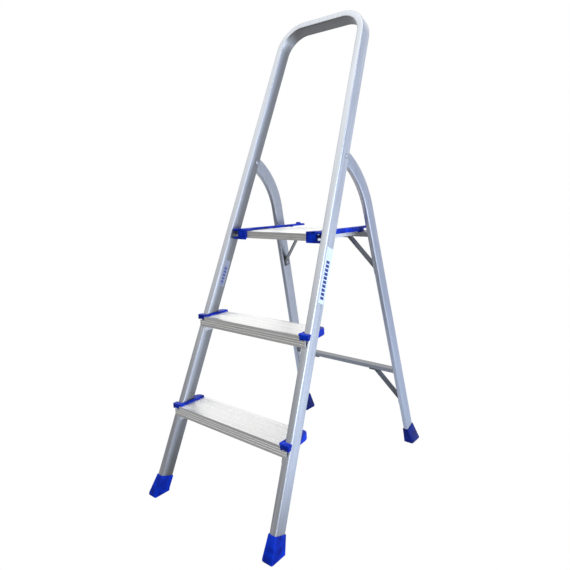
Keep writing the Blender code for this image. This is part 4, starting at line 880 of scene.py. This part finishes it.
def build_stage():
    """Wide floor, grey in front and pale behind to light the metal, white to the camera."""
    corners = [(FLOOR_REACH * x, FLOOR_REACH * y, 0.0)
               for x, y in ((-1, -1), (1, -1), (1, 1), (-1, 1))]
    floor = link_mesh("floor", corners, [(0, 1, 2, 3)])
    floor.location.z = -FLOOR_DROP
    material, tree, shader = start_material("studio_floor", Roughness=0.9,
                                            Specular_IOR_Level=0.1)
    place = add(tree, "ShaderNodeTexCoord").outputs["Object"]
    depth = add(tree, "ShaderNodeSeparateXYZ", {"Vector": place}).outputs["Y"]
    behind = add(tree, "ShaderNodeMapRange", {"Value": depth, "From Min": CARD_CHANGE[0],
                                              "From Max": CARD_CHANGE[1]},
                 interpolation_type="SMOOTHSTEP").outputs["Result"]
    card = add(tree, "ShaderNodeMix", {"Factor": behind, "A": linear("#8A8886"),
                                       "B": linear("#DCE4F2")}, data_type="RGBA")
    wire(tree, shader, card.outputs["Result"])
    sweep = add(tree, "ShaderNodeEmission", {"Color": WHITE, "Strength": 1.0})
    seen = add(tree, "ShaderNodeLightPath").outputs["Is Camera Ray"]
    mixed = add(tree, "ShaderNodeMixShader", {0: seen, 1: shader.outputs["BSDF"],
                                              2: sweep.outputs["Emission"]})
    tree.links.new(mixed.outputs["Shader"],
                   tree.nodes["Material Output"].inputs["Surface"])
    floor.data.materials.append(material)


BRIGHT_SKY = (1.34, 1.34, 1.31, 1.0)
PALE_SKY = (1.15, 1.15, 1.15, 1.0)
COOL_LOW = (0.70, 0.79, 1.0, 1.0)
COOL_HIGH = (0.34, 0.39, 0.52, 1.0)


def build_surround():
    """World light: white behind and above, dim in front near the horizon, cool on +X."""
    world = bpy.data.worlds.new("studio")
    bpy.context.scene.world = world
    world.use_nodes = True
    tree = world.node_tree
    background = tree.nodes["Background"]
    direction = add(tree, "ShaderNodeTexCoord").outputs["Generated"]
    parts = add(tree, "ShaderNodeSeparateXYZ", {"Vector": direction})

    def fade(axis, low, high, first, second):
        """From the first colour to the second as the direction's axis goes low to high."""
        factor = add(tree, "ShaderNodeMapRange", {"Value": parts.outputs[axis],
                                                  "From Min": low, "From Max": high},
                     interpolation_type="SMOOTHSTEP").outputs["Result"]
        return add(tree, "ShaderNodeMix", {"Factor": factor, "A": first, "B": second},
                   data_type="RGBA").outputs["Result"]

    front = fade("Z", 0.05, 0.62, linear("#868482"), BRIGHT_SKY)
    around = fade("Y", -0.35, 0.35, front, PALE_SKY)
    side = fade("Z", 0.12, 0.42, COOL_LOW, COOL_HIGH)
    cool = fade("X", 0.15, 0.6, around, side)
    seen = add(tree, "ShaderNodeLightPath").outputs["Is Camera Ray"]
    sky = add(tree, "ShaderNodeMix", {"Factor": seen, "A": cool, "B": WHITE},
              data_type="RGBA").outputs["Result"]
    tree.links.new(sky, background.inputs["Color"])
    background.inputs["Strength"].default_value = 1.0


def area_light(name, place, target, size, power, colour=(1.0, 1.0, 1.0)):
    """Rectangular lamp at a place, turned to face its target."""
    light = bpy.data.lights.new(name, "AREA")
    light.shape = "RECTANGLE"
    light.size, light.size_y = size
    light.energy = power
    light.color = colour
    lamp = bpy.data.objects.new(name, light)
    bpy.context.scene.collection.objects.link(lamp)
    lamp.location = place
    aim = Vector(target) - Vector(place)
    lamp.rotation_euler = aim.to_track_quat("-Z", "Y").to_euler()


EYE = Vector((0.86756, -1.09748, 0.80324))
EYE_AZIMUTH, EYE_DIP, EYE_ROLL = 39.2853, 10.1621, -1.1058      # degrees
SENSOR_MM, LENS_MM = 36.0, 31.449
FAR_CLIP = 60.0


def build_camera():
    """Three-quarter view from the climber's right, a little above the platform."""
    azimuth, dip, roll = (math.radians(turn) for turn in (EYE_AZIMUTH, EYE_DIP, EYE_ROLL))
    forward = Vector((-math.sin(azimuth) * math.cos(dip), math.cos(azimuth) * math.cos(dip),
                      -math.sin(dip)))
    level = Vector((math.cos(azimuth), math.sin(azimuth), 0.0))
    raised = level.cross(forward)
    right = level * math.cos(roll) + raised * math.sin(roll)
    up = raised * math.cos(roll) - level * math.sin(roll)
    camera = bpy.data.cameras.new("camera")
    camera.sensor_width = SENSOR_MM
    camera.lens = LENS_MM
    camera.clip_end = FAR_CLIP
    eye = bpy.data.objects.new("camera", camera)
    bpy.context.scene.collection.objects.link(eye)
    turn = Matrix((right, up, -forward)).transposed().to_4x4()
    eye.matrix_world = Matrix.Translation(EYE) @ turn
    bpy.context.scene.camera = eye


# ------------------------------------------------------------------ assembly
def paint_cad_nodes():
    """Finish of the extruded and pressed metal, which keeps its CAD shape."""
    for name, node in frame["nodes"].items():
        if "rivet" in name or "pin" in name or "screw" in name:
            material = ZINC
        elif "tread" in name or "panel" in name:
            material = TREAD_METAL
        elif "brace" in name:
            # The braces take the darker aluminium, painted shade.
            material = SHADED_BRACE_METAL
        else:
            material = BAR_METAL
        node.data.materials.clear()
        node.data.materials.append(material)


paint_cad_nodes()
build_hoop()
for hand, side in SIDES.items():
    build_leg(hand, side)
    build_front_foot(hand, side)
    build_rear_foot(hand, side)
    build_end_cap("lower", hand, side)
    build_end_cap("upper", hand, side)
    build_rail(hand, side)
build_sticker("stile_label", 1.0, True, LABEL_ALONG, LABEL_BEHIND, LABEL_VINYL)
build_sticker("inner_label", -1.0, False, SMALL_ALONG, SMALL_BEHIND, SMALL_VINYL)
build_stage()
build_surround()
area_light("ceiling_panel", place=(0.6, -0.8, 3.2), target=(0.0, 0.0, 0.4),
           size=(3.0, 3.0), power=14.0)
area_light("side_panel", place=(2.8, -0.3, 0.9), target=(0.0, -0.3, 0.3),
           size=(3.2, 3.2), power=85.0, colour=(0.86, 0.93, 1.0))
build_camera()
bpy.context.scene.view_settings.view_transform = "Standard"
